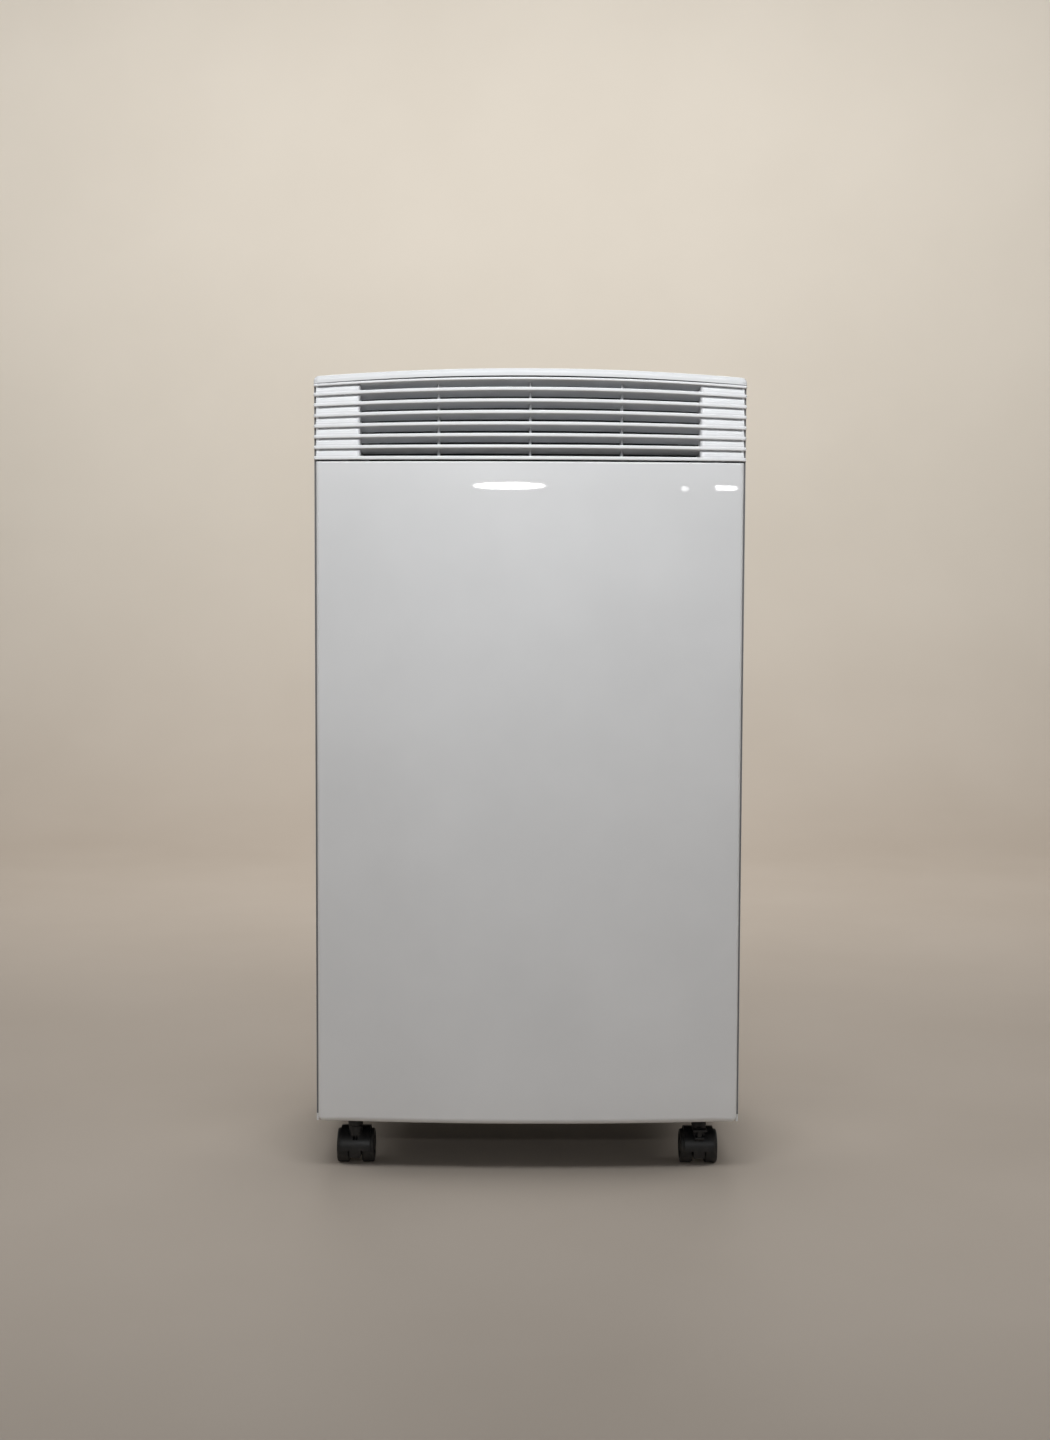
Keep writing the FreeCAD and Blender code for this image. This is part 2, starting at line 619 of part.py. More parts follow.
def drain_plug():
    shaft = rod(DRAIN_R - RUN_FIT, DRAIN_X, SPOUT_Y, DRAIN_Z, BACK_Y - SPOUT_Y, Y_AXIS)
    head = rod(DRAIN_R + 6, DRAIN_X, BACK_Y + 0.3, DRAIN_Z, 6.0, Y_AXIS)
    head = head.makeFillet(1.5, edges_where(head, lambda b: b.YMin > BACK_Y + 6))
    neck = rod(DRAIN_R - 1, DRAIN_X, BACK_Y - 1, DRAIN_Z, 2.0, Y_AXIS)
    pull = box(DRAIN_X - 2, DRAIN_X + 2, BACK_Y + 6, BACK_Y + 11.5, DRAIN_Z - 8, DRAIN_Z + 8)
    return fuse([shaft, neck, head, pull])


def cord_gland():
    body = rod(9.0, GLAND_X, BACK_Y - 8, GLAND_Z, 8.0, Y_AXIS)
    flange = rod(12.5, GLAND_X, BACK_Y, GLAND_Z, 2.5, Y_AXIS)
    nut = rod(8.0, GLAND_X, BACK_Y + 2.5, GLAND_Z, 6.0, Y_AXIS)
    nut = nut.makeFillet(1.2, edges_where(nut, lambda b: b.YMin > BACK_Y + 8))
    return fuse([body, flange, nut]).cut(rod(4.0, GLAND_X, BACK_Y - 10, GLAND_Z, 30.0, Y_AXIS))


def cabinet_screw(x, z):
    shank = rod(SCREW_R, x, BACK_Y - 9, z, 9.0, Y_AXIS)
    head = rod(4.2, x, BACK_Y, z, 2.4, Y_AXIS)
    head = head.makeFillet(1.0, edges_where(head, lambda b: b.YMin > BACK_Y + 2))
    cross = fuse([box(x - 2.2, x + 2.2, BACK_Y + 1.2, BACK_Y + 3, z - 0.4, z + 0.4),
                  box(x - 0.4, x + 0.4, BACK_Y + 1.2, BACK_Y + 3, z - 2.2, z + 2.2)])
    return fuse([shank, head]).cut(cross)


def filter_bays(y0, y1):
    """The three equal windows of the filter, between two depths."""
    border = FILTER_BORDER
    left_end = FILTER_X[0] + border
    z0, z1 = FILTER_Z
    bays = 3
    width = (SIDE_RETURN_X - left_end - bays * border) / bays
    lefts = [left_end + column * (width + border) for column in range(bays)]
    return [box(left, left + width, y0, y1, z0 + border, z1 - border) for left in lefts]


def filter_frame():
    x0, x1 = FILTER_X
    y0, y1 = FILTER_Y
    z0, z1 = FILTER_Z
    frame = box(x0, x1, y0, y1, z0, z1)
    windows = filter_bays(y0 - 1, y1 + 1)
    # a finger notch in the pull edge
    windows.append(rod(12.0, x1 + 4, y0 - 1, (z0 + z1) / 2, y1 - y0 + 2, Y_AXIS))
    return frame.cut(Part.makeCompound(windows))


def filter_mesh():
    """Woven screen: one thin sheet in each bay of the frame."""
    middle_y = sum(FILTER_Y) / 2
    return Part.makeCompound(filter_bays(middle_y - MESH_THICK / 2, middle_y + MESH_THICK / 2))


# ---- casters ------------------------------------------------------------------------
def caster_spots():
    for side, x in (("left", -CASTER_X), ("right", CASTER_X)):
        for end, y in (("front", -CASTER_Y), ("rear", CASTER_Y)):
            yield end + "_" + side, x, y


def caster_stem(x, y):
    low_z = 27.0
    pin = rod(STEM_R, x, y, low_z, BOSS_TOP_Z - 1 - low_z)
    collar = rod(7.0, x, y, HOOD_TOP_Z + 0.3, 1.0)
    return fuse([pin, collar])


def hood_window(x, axle_y):
    return box(x - 2.4, x + 2.4, axle_y - 30, axle_y - HOOD_R[0] + 6, 28.2, 32.8)


def brake_notch(x, axle_y):
    """Recess in the stem boss behind the brake lever."""
    return box(x - 7.2, x + 7.2, axle_y - 30, axle_y - 15.6, 34.5, 40.6)


def brake_ears(x, axle_y):
    """Two lugs on the hood that hold the lever's pin."""
    y, z = axle_y + LEVER_PIN[0], LEVER_PIN[1]
    ears = []
    for side in (-1, 1):
        middle = x + side * 3.6
        lug = fuse([box(middle - 1, middle + 1, y, axle_y - 13, z - 2.4, z + 2.4),
                    rod(2.4, middle - 1, y, z, 2.0, X_AXIS)])
        ears.append(lug.cut(rod(LEVER_PIN_R + RUN_FIT, middle - 2, y, z, 4.0, X_AXIS)))
    return ears


def caster_hood(x, y, braked):
    axle_y = y + CASTER_TRAIL
    inner, outer = HOOD_R
    shell = rod(outer, x - HOOD_HALF, axle_y, WHEEL_R, 2 * HOOD_HALF, X_AXIS)
    boss = rod(BOSS_R - 0.5, x, y, 24.0, HOOD_TOP_Z - 24.0)
    body = fuse([shell, boss])
    for side in (-1, 1):
        start = x + (HOOD_WEB if side > 0 else -HOOD_HALF - 1)
        body = body.cut(rod(inner, start, axle_y, WHEEL_R, HOOD_HALF + 1 - HOOD_WEB, X_AXIS))
    # the hood stops at axle height in front and leaves the trailing side open
    body = body.cut(box(x - 30, x - HOOD_WEB, axle_y - 30, axle_y + 30, -5, HOOD_LOW_Z))
    body = body.cut(box(x + HOOD_WEB, x + 30, axle_y - 30, axle_y + 30, -5, HOOD_LOW_Z))
    body = body.cut(box(x - 30, x + 30, axle_y + 6, axle_y + 30, -5, 30.0))
    body = body.cut(box(x - 30, x + 30, axle_y - 30, axle_y + 30, -5, 9.0))
    body = body.cut(rod(STEM_R + RUN_FIT, x, y, 26.0, 20.0))
    body = body.cut(rod(AXLE_R, x - 30, axle_y, WHEEL_R, 60.0, X_AXIS))
    if braked:
        return fuse([body.cut(brake_notch(x, axle_y))] + brake_ears(x, axle_y))
    return body.cut(hood_window(x, axle_y))


def caster_axle(x, y):
    return rod(AXLE_R, x - 17.0, y + CASTER_TRAIL, WHEEL_R, 34.0, X_AXIS)


def caster_wheel(x, y, side):
    """Solid wheel with a rounded tread and a shallow dish in its outer face."""
    axle_y = y + CASTER_TRAIL
    x0, x1 = WHEEL_X
    tyre = rod(WHEEL_R, x0, 0, 0, x1 - x0, X_AXIS)
    tyre = tyre.makeFillet(1.8, edges_where(tyre, lambda b: b.YLength > 30 and b.XLength < 0.1))
    dish = Part.makeCone(14.5, 12.5, 2.0, Vector(x1, 0, 0), -X_AXIS)
    hub = rod(6.0, x1 - 2, 0, 0, 1.6, X_AXIS)
    wheel = tyre.cut(dish).fuse(hub)
    wheel = wheel.cut(rod(AXLE_R + RUN_FIT, x0 - 1, 0, 0, 17.0 - x0 + 1.2, X_AXIS)).removeSplitter()
    wheel = wheel if side > 0 else mirror_x(wheel)
    wheel.translate(Vector(x, axle_y, WHEEL_R))
    return wheel


def brake_lever(x, y):
    """T-shaped foot tab with a leg down to its pin; it tips forward about the pin."""
    axle_y = y + CASTER_TRAIL
    pin_y, pin_z = axle_y + LEVER_PIN[0], LEVER_PIN[1]
    tab = box(x - 7.5, x + 7.5, axle_y - 29.0, pin_y + 1.2, 40.8, 43.2)
    tab = tab.makeFillet(1.0, edges_where(tab, lambda b: b.XLength > 10 and b.YMax < axle_y - 28))
    leg = box(x - 2.0, x + 2.0, pin_y - 1.2, pin_y + 1.2, pin_z, 41.5)
    knuckle = rod(2.2, x - 2.0, pin_y, pin_z, 4.0, X_AXIS)
    pin = rod(LEVER_PIN_R, x - 5.0, pin_y, pin_z, 10.0, X_AXIS)
    return fuse([tab, leg, knuckle, pin])


# ---- refrigeration circuit and air paths -----------------------------------------------
def finned_coil(extent, tube_rows):
    """Fin pack between two end plates, with the copper return bends at both ends."""
    x0, x1, y0, y1, z0, z1 = extent
    plate = 2.0
    tube_r = 4.0
    middle_y = (y0 + y1) / 2
    first_z = z0 + 12
    step = (z1 - z0 - 24) / (tube_rows - 1)
    pack = box(x0, x1, y0, y1, z0, z1)
    gaps = int((x1 - x0 - 2 * plate) / FIN_PITCH)
    pitch = (x1 - x0 - 2 * plate) / gaps
    slots = []
    for i in range(gaps):
        left = x0 + plate + i * pitch + FIN_THICK / 2
        right = left + pitch - FIN_THICK
        slots.append(box(left, right, y0 - 1, middle_y - tube_r, z0 + 4, z1 - 4))
        slots.append(box(left, right, middle_y + tube_r, y1 + 1, z0 + 4, z1 - 4))
    pieces = [pack.cut(Part.makeCompound(slots))]
    for i in range(tube_rows - 1):
        side, x = (1, x1) if i % 2 == 0 else (-1, x0)
        low = Vector(x, middle_y, first_z + i * step)
        high = low + Vector(0, 0, step)
        reach = Vector(side * (step / 2 + 2), 0, 0)
        pieces.append(tube([low, low + reach, high + reach, high], tube_r, step / 2 - 0.5))
    for x, z in ((x0 - 1, first_z), (x1, first_z + (tube_rows - 1) * step)):
        pieces.append(rod(tube_r, x, middle_y, z, 1.0, X_AXIS))
    return fuse(pieces)


def compressor():
    x, y = COMPRESSOR
    z0, z1 = COMPRESSOR_Z
    can = rod(COMPRESSOR_R, x, y, z0, z1 - z0)
    can = can.makeFillet(18.0, edges_where(can, lambda b: b.XLength > 90 and b.ZLength < 1))
    weld = ring(COMPRESSOR_R + 1.2, COMPRESSOR_R - 2, x, y, z1 - 40, 5)
    pieces = [can, weld, rod(9.0, x + 20, y, z1 - 8, 12.0), rod(5.0, x - 20, y, z1 - 8, 14.0)]
    for angle in FOOT_ANGLES:
        arm = box(x, x + COMPRESSOR_FOOT_R, y - 10, y + 10, FOOT_Z, FOOT_Z + FOOT_THICK)
        pad = rod(13.0, x + COMPRESSOR_FOOT_R, y, FOOT_Z, FOOT_THICK)
        foot = fuse([arm, pad]).cut(rod(BOLT_R + 1, x + COMPRESSOR_FOOT_R, y, FOOT_Z - 10, 30.0))
        foot.rotate(Vector(x, y, 0), Z_AXIS, angle)
        pieces.append(foot)
    return fuse(pieces)


def compressor_feet():
    x, y = COMPRESSOR
    for foot_angle in FOOT_ANGLES:
        angle = math.radians(foot_angle)
        yield x + COMPRESSOR_FOOT_R * math.cos(angle), y + COMPRESSOR_FOOT_R * math.sin(angle)


def compressor_grommets():
    floor_z = CASE_BOTTOM + BASE_FLOOR
    grommets = [ring(11.0, BOLT_R + 0.5, x, y, floor_z, FOOT_Z - floor_z) for x, y in compressor_feet()]
    return Part.makeCompound(grommets)


def compressor_bolts():
    floor_z = CASE_BOTTOM + BASE_FLOOR
    washer_z = FOOT_Z + FOOT_THICK + 0.1
    nut_z = washer_z + 1.4
    bolts = []
    for x, y in compressor_feet():
        turns = [math.radians(60 * k) for k in range(7)]
        hexagon = Part.makePolygon([Vector(x + 9 * math.cos(t), y + 9 * math.sin(t), nut_z) for t in turns])
        nut = Part.Face(hexagon).extrude(Vector(0, 0, 6.0))
        washer = rod(11.0, x, y, washer_z, nut_z - washer_z)
        bolts.append(fuse([rod(BOLT_R, x, y, floor_z, nut_z + 10 - floor_z), nut, washer]))
    return Part.makeCompound(bolts)


def accumulator():
    x, y = ACCUMULATOR
    can = rod(ACCUMULATOR_R, x, y, 110.0, 120.0)
    can = can.makeFillet(8.0, edges_where(can, lambda b: b.XLength > 30 and b.ZLength < 1))
    elbow = tube([Vector(x, y, 112.0), Vector(x, y, 95.0), Vector(x + 30, y, 95.0)], 5.0, 12.0)
    return fuse([can, elbow])


def discharge_line():
    x, y = COMPRESSOR
    start_z = COMPRESSOR_Z[1] + 6
    level_z = 300.0
    coil_z = COND_COIL[5] - 12
    return tube([Vector(x - 20, y, start_z), Vector(x - 20, y, level_z), Vector(HOT_X, y, level_z),
                 Vector(HOT_X, COND_PIPE_Y, level_z), Vector(HOT_X, COND_PIPE_Y, coil_z),
                 Vector(COND_COIL[1] + 1, COND_PIPE_Y, coil_z)], 4.5, 9.0)


def scroll_shell(axis_x, axis_z, radius, y_range, neck, inlet_r, shaft_r):
    """Hollow fan housing: a round case with a chimney, an inlet and a shaft hole."""
    y0, y1 = y_range
    w = DUCT_WALL
    x0, x1, z_top = neck
    outer = fuse([rod(radius, axis_x, y0, axis_z, y1 - y0, Y_AXIS), box(x0, x1, y0, y1, axis_z, z_top)])
    inner = fuse([rod(radius - w, axis_x, y0 + w, axis_z, y1 - y0 - 2 * w, Y_AXIS),
                  box(x0 + w, x1 - w, y0 + w, y1 - w, axis_z, z_top + 1)])
    shell = outer.cut(inner)
    shell = shell.cut(rod(inlet_r, axis_x, y1 - w - 1, axis_z, w + 2, Y_AXIS))
    return shell.cut(rod(shaft_r, axis_x, y0 - 1, axis_z, w + 2, Y_AXIS))


def condenser_fan_housing():
    x, z = COND_FAN
    y0, y1 = COND_SCROLL_Y
    w = DUCT_WALL
    chest_x0, chest_x1, chest_y1, chest_z0, chest_z1 = CHEST
    left = min(x - COND_SCROLL_R, chest_x0)
    neck_x1 = x + 20
    neck = (left, neck_x1, chest_z0 + w)
    scroll = scroll_shell(x, z, COND_SCROLL_R, COND_SCROLL_Y, neck, 58.0, SHAFT_HOLE_R)
    chest = box(left, chest_x1, y0, chest_y1, chest_z0, chest_z1)
    hollow = box(left + w, chest_x1 - w, y0 + w, chest_y1 - w, chest_z0 + w, chest_z1 - w)
    way_up = box(left + w, neck_x1 - w, y0 + w, y1 - w, chest_z0 - 8, chest_z0 + 7)
    shell = fuse([scroll, chest]).cut(hollow).cut(way_up)
    shell = shell.cut(rod(COLLAR_R, 0, 140, COLLAR_Z, 20, Y_AXIS))
    foot = box(x - 30, x + 30, y0 + 10, y1 - 10, CASE_BOTTOM + BASE_FLOOR, z - COND_SCROLL_R + 4)
    foot = foot.cut(rod(COND_SCROLL_R - w / 2, x, y0, z, y1 - y0, Y_AXIS))
    return fuse([shell, foot])


def evaporator_fan_housing():
    x, z = EVAP_FAN
    y0, y1 = EVAP_SCROLL_Y
    neck_top = PLENUM_Z[0]
    neck = (x + 10, x + EVAP_SCROLL_R, neck_top)
    shell = scroll_shell(x, z, EVAP_SCROLL_R, EVAP_SCROLL_Y, neck, 72.0, SHAFT_HOLE_R)
    foot = box(-40, 40, y0 + 10, y1 - 10, DECK_Z[1], z - EVAP_SCROLL_R + 4)
    foot = foot.cut(rod(EVAP_SCROLL_R - DUCT_WALL / 2, x, y0, z, y1 - y0, Y_AXIS))
    return fuse([shell, foot])


def discharge_duct():
    """Chest that spreads the air from the fan over the whole width of the grille."""
    w = DUCT_WALL
    half = OPENING_HALF + 1
    y0, y1 = PLENUM_Y
    z0, z1 = PLENUM_Z
    chest = box(-half, half, y0, y1, z0, z1)
    hollow = box(-half + w, half - w, y0 - 1, y1 - w, z0 + w, z1 - w)
    x = EVAP_FAN[0]
    mouth = box(x + 10 + w, x + EVAP_SCROLL_R - w, EVAP_SCROLL_Y[0] + w, EVAP_SCROLL_Y[1] - w,
                z0 - 1, z0 + w + 1)
    return chest.cut(hollow).cut(mouth)


def fan_wheel(axis_x, axis_z, radius, y0, y1, motor_y, blades):
    """Squirrel-cage wheel with curved blades, a back disc and its shaft."""
    disc = rod(radius, 0, y0, 0, 2.0, Y_AXIS)
    rim = ring(radius, radius - 5.0, 0, y1 - 4.0, 0, 4.0, Y_AXIS)
    hub = rod(12.0, 0, y0, 0, 16.0, Y_AXIS)
    shaft = rod(4.0, 0, motor_y, 0, y0 - motor_y + 1, Y_AXIS)
    chord = radius * 0.17
    centre = radius - 0.15 * chord
    blade = ring(chord, chord - 1.2, centre, y0 + 1, 0, y1 - y0 - 2, Y_AXIS)
    blade = blade.common(box(centre - 0.8 * chord, centre, y0, y1, 0.2 * chord, 2 * chord))
    pieces = [disc, rim, hub, shaft]
    for i in range(blades):
        turned = blade.copy()
        turned.rotate(Vector(0, 0, 0), Y_AXIS, 360.0 * i / blades)
        pieces.append(turned)
    wheel = fuse(pieces).common(rod(radius, 0, motor_y - 1, 0, y1 - motor_y + 1, Y_AXIS))
    wheel.translate(Vector(axis_x, 0, axis_z))
    return wheel


def fan_motor(axis_x, axis_z, radius, y0, y1, shaft_y):
    can = rod(radius, axis_x, y0, axis_z, y1 - y0, Y_AXIS)
    can = can.makeFillet(5.0, edges_where(can, lambda b: b.YLength < 0.1 and b.YMax < y0 + 1))
    flange = rod(radius + 8, axis_x, y1 - 3, axis_z, 3.0, Y_AXIS)
    bore = rod(4.0 + RUN_FIT, axis_x, shaft_y - 0.5, axis_z, y1 - shaft_y + 1, Y_AXIS)
    return fuse([can, flange]).cut(bore)


def drip_tray():
    """Partition between the two air paths; its rear part catches the condensate."""
    half, wall = TRAY_HALF, TRAY_WALL
    y0, y1 = TRAY_Y
    z0, z1 = DECK_Z
    tray = box(-half, half, y0, y1, z0, z1)
    rim_z = z1 + TRAY_RIM
    rear = box(-half, half, TRAY_WELL_Y, y1, z0, rim_z)
    well = box(-half + wall, half - wall, TRAY_WELL_Y + wall, y1 - wall, z1, rim_z + 1)
    return fuse([tray, rear.cut(well)])


def control_box():
    x0, x1, y0, y1, z0, z1 = CONTROL_BOX
    lip = CONTROL_LID
    return fuse([box(x0 - lip, x1 + lip, y0 - lip, y0, z0 - lip, z1 + lip), box(*CONTROL_BOX)])


def run_capacitor():
    x, y, radius, z, height = CAPACITOR
    can = rod(radius, x, y, z, height)
    can = can.makeFillet(2.5, edges_where(can, lambda b: b.XLength > 40 and b.ZLength < 0.1))
    top = z + height
    tabs = [box(x + dx - 3, x + dx + 3, y - 0.4, y + 0.4, top - 1, top + 9) for dx in (-8.0, 8.0)]
    return fuse([can] + tabs)


def suction_line():
    x, y = ACCUMULATOR
    level_z = 330.0
    coil_z = EVAP_COIL[5] - 12
    return tube([Vector(EVAP_COIL[1] + 1, EVAP_PIPE_Y, coil_z), Vector(SUCTION_X, EVAP_PIPE_Y, coil_z),
                 Vector(SUCTION_X, EVAP_PIPE_Y, level_z), Vector(SUCTION_X, y, level_z),
                 Vector(x, y, level_z), Vector(x, y, 230.0)], 6.0, 15.0)


def liquid_line():
    low_z = COND_COIL[4] + 12
    high_z = EVAP_COIL[4] + 12
    pipe = tube([Vector(COND_COIL[0] - 1, COND_PIPE_Y, low_z), Vector(LIQUID_X, COND_PIPE_Y, low_z),
                 Vector(LIQUID_X, COND_PIPE_Y, high_z - 30), Vector(LIQUID_X, EVAP_PIPE_Y, high_z),
                 Vector(EVAP_COIL[0] - 1, EVAP_PIPE_Y, high_z)], 3.2, 10.0)
    drier = rod(9.0, LIQUID_X, COND_PIPE_Y, 240.0, 80.0)
    drier = drier.makeFillet(5.0, edges_where(drier, lambda b: b.XLength > 10 and b.ZLength < 0.1))
    return fuse([pipe, drier])


# ---- build everything -----------------------------------------------------------------------
def build_casters():
    stems = []
    for name, x, y in caster_spots():
        braked = name == "front_right"
        stems.append(caster_stem(x, y))
        save("caster_hood_" + name, caster_hood(x, y, braked))
        save("caster_axle_" + name, caster_axle(x, y))
        save("caster_wheel_" + name + "_outer", caster_wheel(x, y, 1 if x > 0 else -1))
        save("caster_wheel_" + name + "_inner", caster_wheel(x, y, -1 if x > 0 else 1))
        if braked:
            save("caster_brake_lever", brake_lever(x, y))
    save("caster_stems", Part.makeCompound(stems))


def build_cabinet():
    save("base_pan", base_pan())
    save("front_panel", front_panel())
    right = side_panel()
    save("right_side_panel", right.cut(filter_slot()))
    save("left_side_panel", mirror_x(right))
    save("back_panel", back_panel())
    save("top_cover", top_cover())
    save("discharge_grille", discharge_grille())
    cup = handle_cup()
    save("right_handle_cup", cup)
    save("left_handle_cup", mirror_x(cup))
    save("exhaust_collar", exhaust_collar())
    save("cord_gland", cord_gland())
    save("drain_plug", drain_plug())
    save("cabinet_screws", Part.makeCompound([cabinet_screw(x, z) for x in SCREW_XS for z in SCREW_ZS]))
    save("filter_frame", filter_frame())
    save("filter_mesh", filter_mesh())


def build_controls():
    save("control_fascia", control_fascia())
    save("display_lens", display_lens())
    save("display_board", display_board())
    for name, x, radius in BUTTONS:
        save("button_" + name, push_button(x, radius))


def build_inside():
    save("compressor", compressor())
    save("compressor_grommets", compressor_grommets())
    save("compressor_bolts", compressor_bolts())
    save("accumulator", accumulator())
    save("condenser_coil", finned_coil(COND_COIL, 9))
    save("evaporator_coil", finned_coil(EVAP_COIL, 9))
    save("condenser_fan_housing", condenser_fan_housing())
    save("condenser_fan_wheel", fan_wheel(*COND_FAN, COND_WHEEL_R, 32.0, 92.0, 0.0, 30))
    save("condenser_fan_motor", fan_motor(*COND_FAN, 40.0, -40.0, 20.0, 0.0))
    save("evaporator_fan_housing", evaporator_fan_housing())
    save("evaporator_fan_wheel", fan_wheel(*EVAP_FAN, EVAP_WHEEL_R, 2.0, 80.0, -40.0, 36))
    save("evaporator_fan_motor", fan_motor(*EVAP_FAN, 44.0, -82.0, -12.0, -40.0))
    save("discharge_duct", discharge_duct())
    save("drip_tray", drip_tray())
    save("control_box", control_box())
    save("run_capacitor", run_capacitor())
    save("discharge_line", discharge_line())
    save("suction_line", suction_line())
    save("liquid_line", liquid_line())


os.makedirs("parts", exist_ok=True)
build_cabinet()
build_controls()
build_casters()
build_inside()
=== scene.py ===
import json
import math

import bmesh
import bpy
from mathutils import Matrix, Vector


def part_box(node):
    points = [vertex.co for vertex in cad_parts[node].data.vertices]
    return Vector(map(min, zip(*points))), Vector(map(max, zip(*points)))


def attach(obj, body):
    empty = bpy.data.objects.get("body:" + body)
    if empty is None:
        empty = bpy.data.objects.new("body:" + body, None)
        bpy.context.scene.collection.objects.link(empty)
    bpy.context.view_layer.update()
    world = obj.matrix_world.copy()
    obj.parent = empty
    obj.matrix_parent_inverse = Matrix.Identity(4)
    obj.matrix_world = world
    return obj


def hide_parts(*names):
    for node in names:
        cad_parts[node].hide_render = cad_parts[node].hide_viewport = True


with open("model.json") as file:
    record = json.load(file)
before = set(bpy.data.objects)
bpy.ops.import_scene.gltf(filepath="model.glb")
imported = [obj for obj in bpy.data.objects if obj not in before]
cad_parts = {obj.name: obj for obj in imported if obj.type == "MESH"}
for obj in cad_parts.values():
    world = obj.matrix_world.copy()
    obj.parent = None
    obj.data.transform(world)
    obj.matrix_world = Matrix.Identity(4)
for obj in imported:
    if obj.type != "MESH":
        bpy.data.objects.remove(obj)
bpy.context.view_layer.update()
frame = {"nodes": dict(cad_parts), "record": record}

# ---- driving values, in metres ------------------------------------------------------------------
MM = 0.001
TINY = 0.002 * MM              # points closer than this are one point
EDGE_ANGLE = 38                # degrees: sharper edges of a CAD mesh are rounded
PIECE_EDGE_ANGLE = 35          # the same for the pieces made here
NOISE_SPAN = (0.3, 0.7)        # most values of a noise texture lie between these
BOW_DEPTH = 12.0 * MM          # how far the front panel falls back at its sides
PANEL_SIDE_R = 3.5 * MM
PANEL_TOP_R = 1.6 * MM
PANEL_FOOT_R = 7.0 * MM
PANEL_CORNER_R = 6.0 * MM
PANEL_WALL = 2.6 * MM
PANEL_MIN_WALL = 0.3 * MM      # least depth left behind a rounded edge
PANEL_STATIONS = 48            # columns across the panel's middle
PANEL_ROWS = 24
CROWN_DROP = 7.8 * MM
PANEL_MERGE = 0.01 * MM
MOULD_EDGE = 0.35 * MM         # softened edge of a moulded part
METAL_EDGE = 0.2 * MM
FRAME_EDGE = 0.3 * MM
SHADE_STRIP_EDGE = 0.2 * MM

CASE_HALF = 225.0 * MM
FRONT_Y = -175.0 * MM
BOW_RADIUS = 2070.6 * MM       # plan radius of the bowed front
GRILLE_BACK_Y = -130.0 * MM    # where the lips end round the corner
GRILLE_CORNER_R = 3.0 * MM
SLAT_COUNT = 8
SLAT_FIRST_Z = 758.0 * MM
SLAT_PITCH = 11.8 * MM
SLAT_RIM_Z = 839.3 * MM
SLAT_FIRST_DROP = 0.2 * MM
SLAT_LAST_DROP = 6.7 * MM
LIP_HEIGHT = 3.7 * MM
RIM_LIP_HEIGHT = 2.8 * MM
LIP_DEPTH = 2.9 * MM
LIP_ROUND = 1.15 * MM
BLADE_THICK = 1.4 * MM
BLADE_SLOPE = 0.30
BLADE_DEPTH = (2.0 * MM, 17.5 * MM)
BLADE_SET = 0.6 * MM           # how far a blade starts below its lip's middle
BLADE_TIP = 0.4 * MM
SIDE_WALL_DEPTH = 16.0 * MM
SIDE_WALL = 2.5 * MM
OVERLAP = 0.2 * MM             # how far a side wall runs into the lips
OPENING_HALF = 176.0 * MM
BLOCK_END = 222.3 * MM
BLOCK_CORNER_R = 3.5 * MM
BLOCK_STEP = 1.95 * MM
BLOCK_STEP_BACK = 0.5 * MM
BLOCK_EDGE = 0.22 * MM
GROOVE_HEIGHT = 2.0 * MM
GROOVE_DEPTH = 6.0 * MM
GROOVE_BACK = 3.0 * MM         # thickness of the wall behind the grooves
RIB_XS = (-95.0 * MM, 0.0, 95.0 * MM)
RIB_WIDTH = 2.6 * MM
RIB_DEPTH = (8.0 * MM, 21.0 * MM)

SHADE_STRIP_INNER = 5.5 * MM          # painted shade strip: from the side panel's face to the strip's two sides
SHADE_STRIP_OUTER = 0.4 * MM
SHADE_STRIP_DEPTH = (0.05 * MM, 0.95 * MM)
SHADE_STRIP_FOOT = 8.0 * MM
SHADE_STRIP_TOP = 17.0 * MM           # how far the strip ends below the top of the cover

FASCIA_SINK = 1.5 * MM
MARK_SIZE = 3.2 * MM           # a mark's radius
MARK_GAP = 6.5 * MM            # from a button's front edge to the middle of its mark
PRINT_WIDTH = 0.6 * MM
PRINT_SINK = 0.02 * MM
PRINT_RISE = 0.05 * MM

CAMERA_AT = Vector((-0.012, -2.088, 0.614))
CAMERA_PITCH = 3.81            # degrees below level
CAMERA_YAW = -0.215
CAMERA_ROLL = -0.22
CAMERA_LENS = 46.0

STAGE_HALF = 7.0
STAGE_FRONT = -6.0
STAGE_BACK = 3.2
STAGE_BEND = 0.9
STAGE_TOP = 4.5
WORLD_COLOR = (0.76, 0.765, 0.775, 1.0)
WORLD_STRENGTH = 0.22


# ---- node helpers -------------------------------------------------------------------------------
def new_material(name):
    material = bpy.data.materials.new(name)
    material.use_nodes = True
    nodes = material.node_tree.nodes
    return material, nodes, material.node_tree.links, nodes["Principled BSDF"]


def noise(nodes, links, coords, scale, detail=3.0, stretch=None):
    """Noise texture on object coordinates, optionally stretched along an axis."""
    texture = nodes.new("ShaderNodeTexNoise")
    texture.inputs["Scale"].default_value = scale
    texture.inputs["Detail"].default_value = detail
    source = coords.outputs["Object"]
    if stretch:
        mapping = nodes.new("ShaderNodeMapping")
        mapping.inputs["Scale"].default_value = stretch
        links.new(source, mapping.inputs["Vector"])
        source = mapping.outputs["Vector"]
    links.new(source, texture.inputs["Vector"])
    return texture.outputs["Fac"]


def ramp(nodes, links, source, low, high, value_low, value_high):
    """Maps a value between two limits onto a range."""
    node = nodes.new("ShaderNodeMapRange")
    node.inputs["From Min"].default_value = low
    node.inputs["From Max"].default_value = high
    node.inputs["To Min"].default_value = value_low
    node.inputs["To Max"].default_value = value_high
    links.new(source, node.inputs["Value"])
    return node.outputs["Result"]


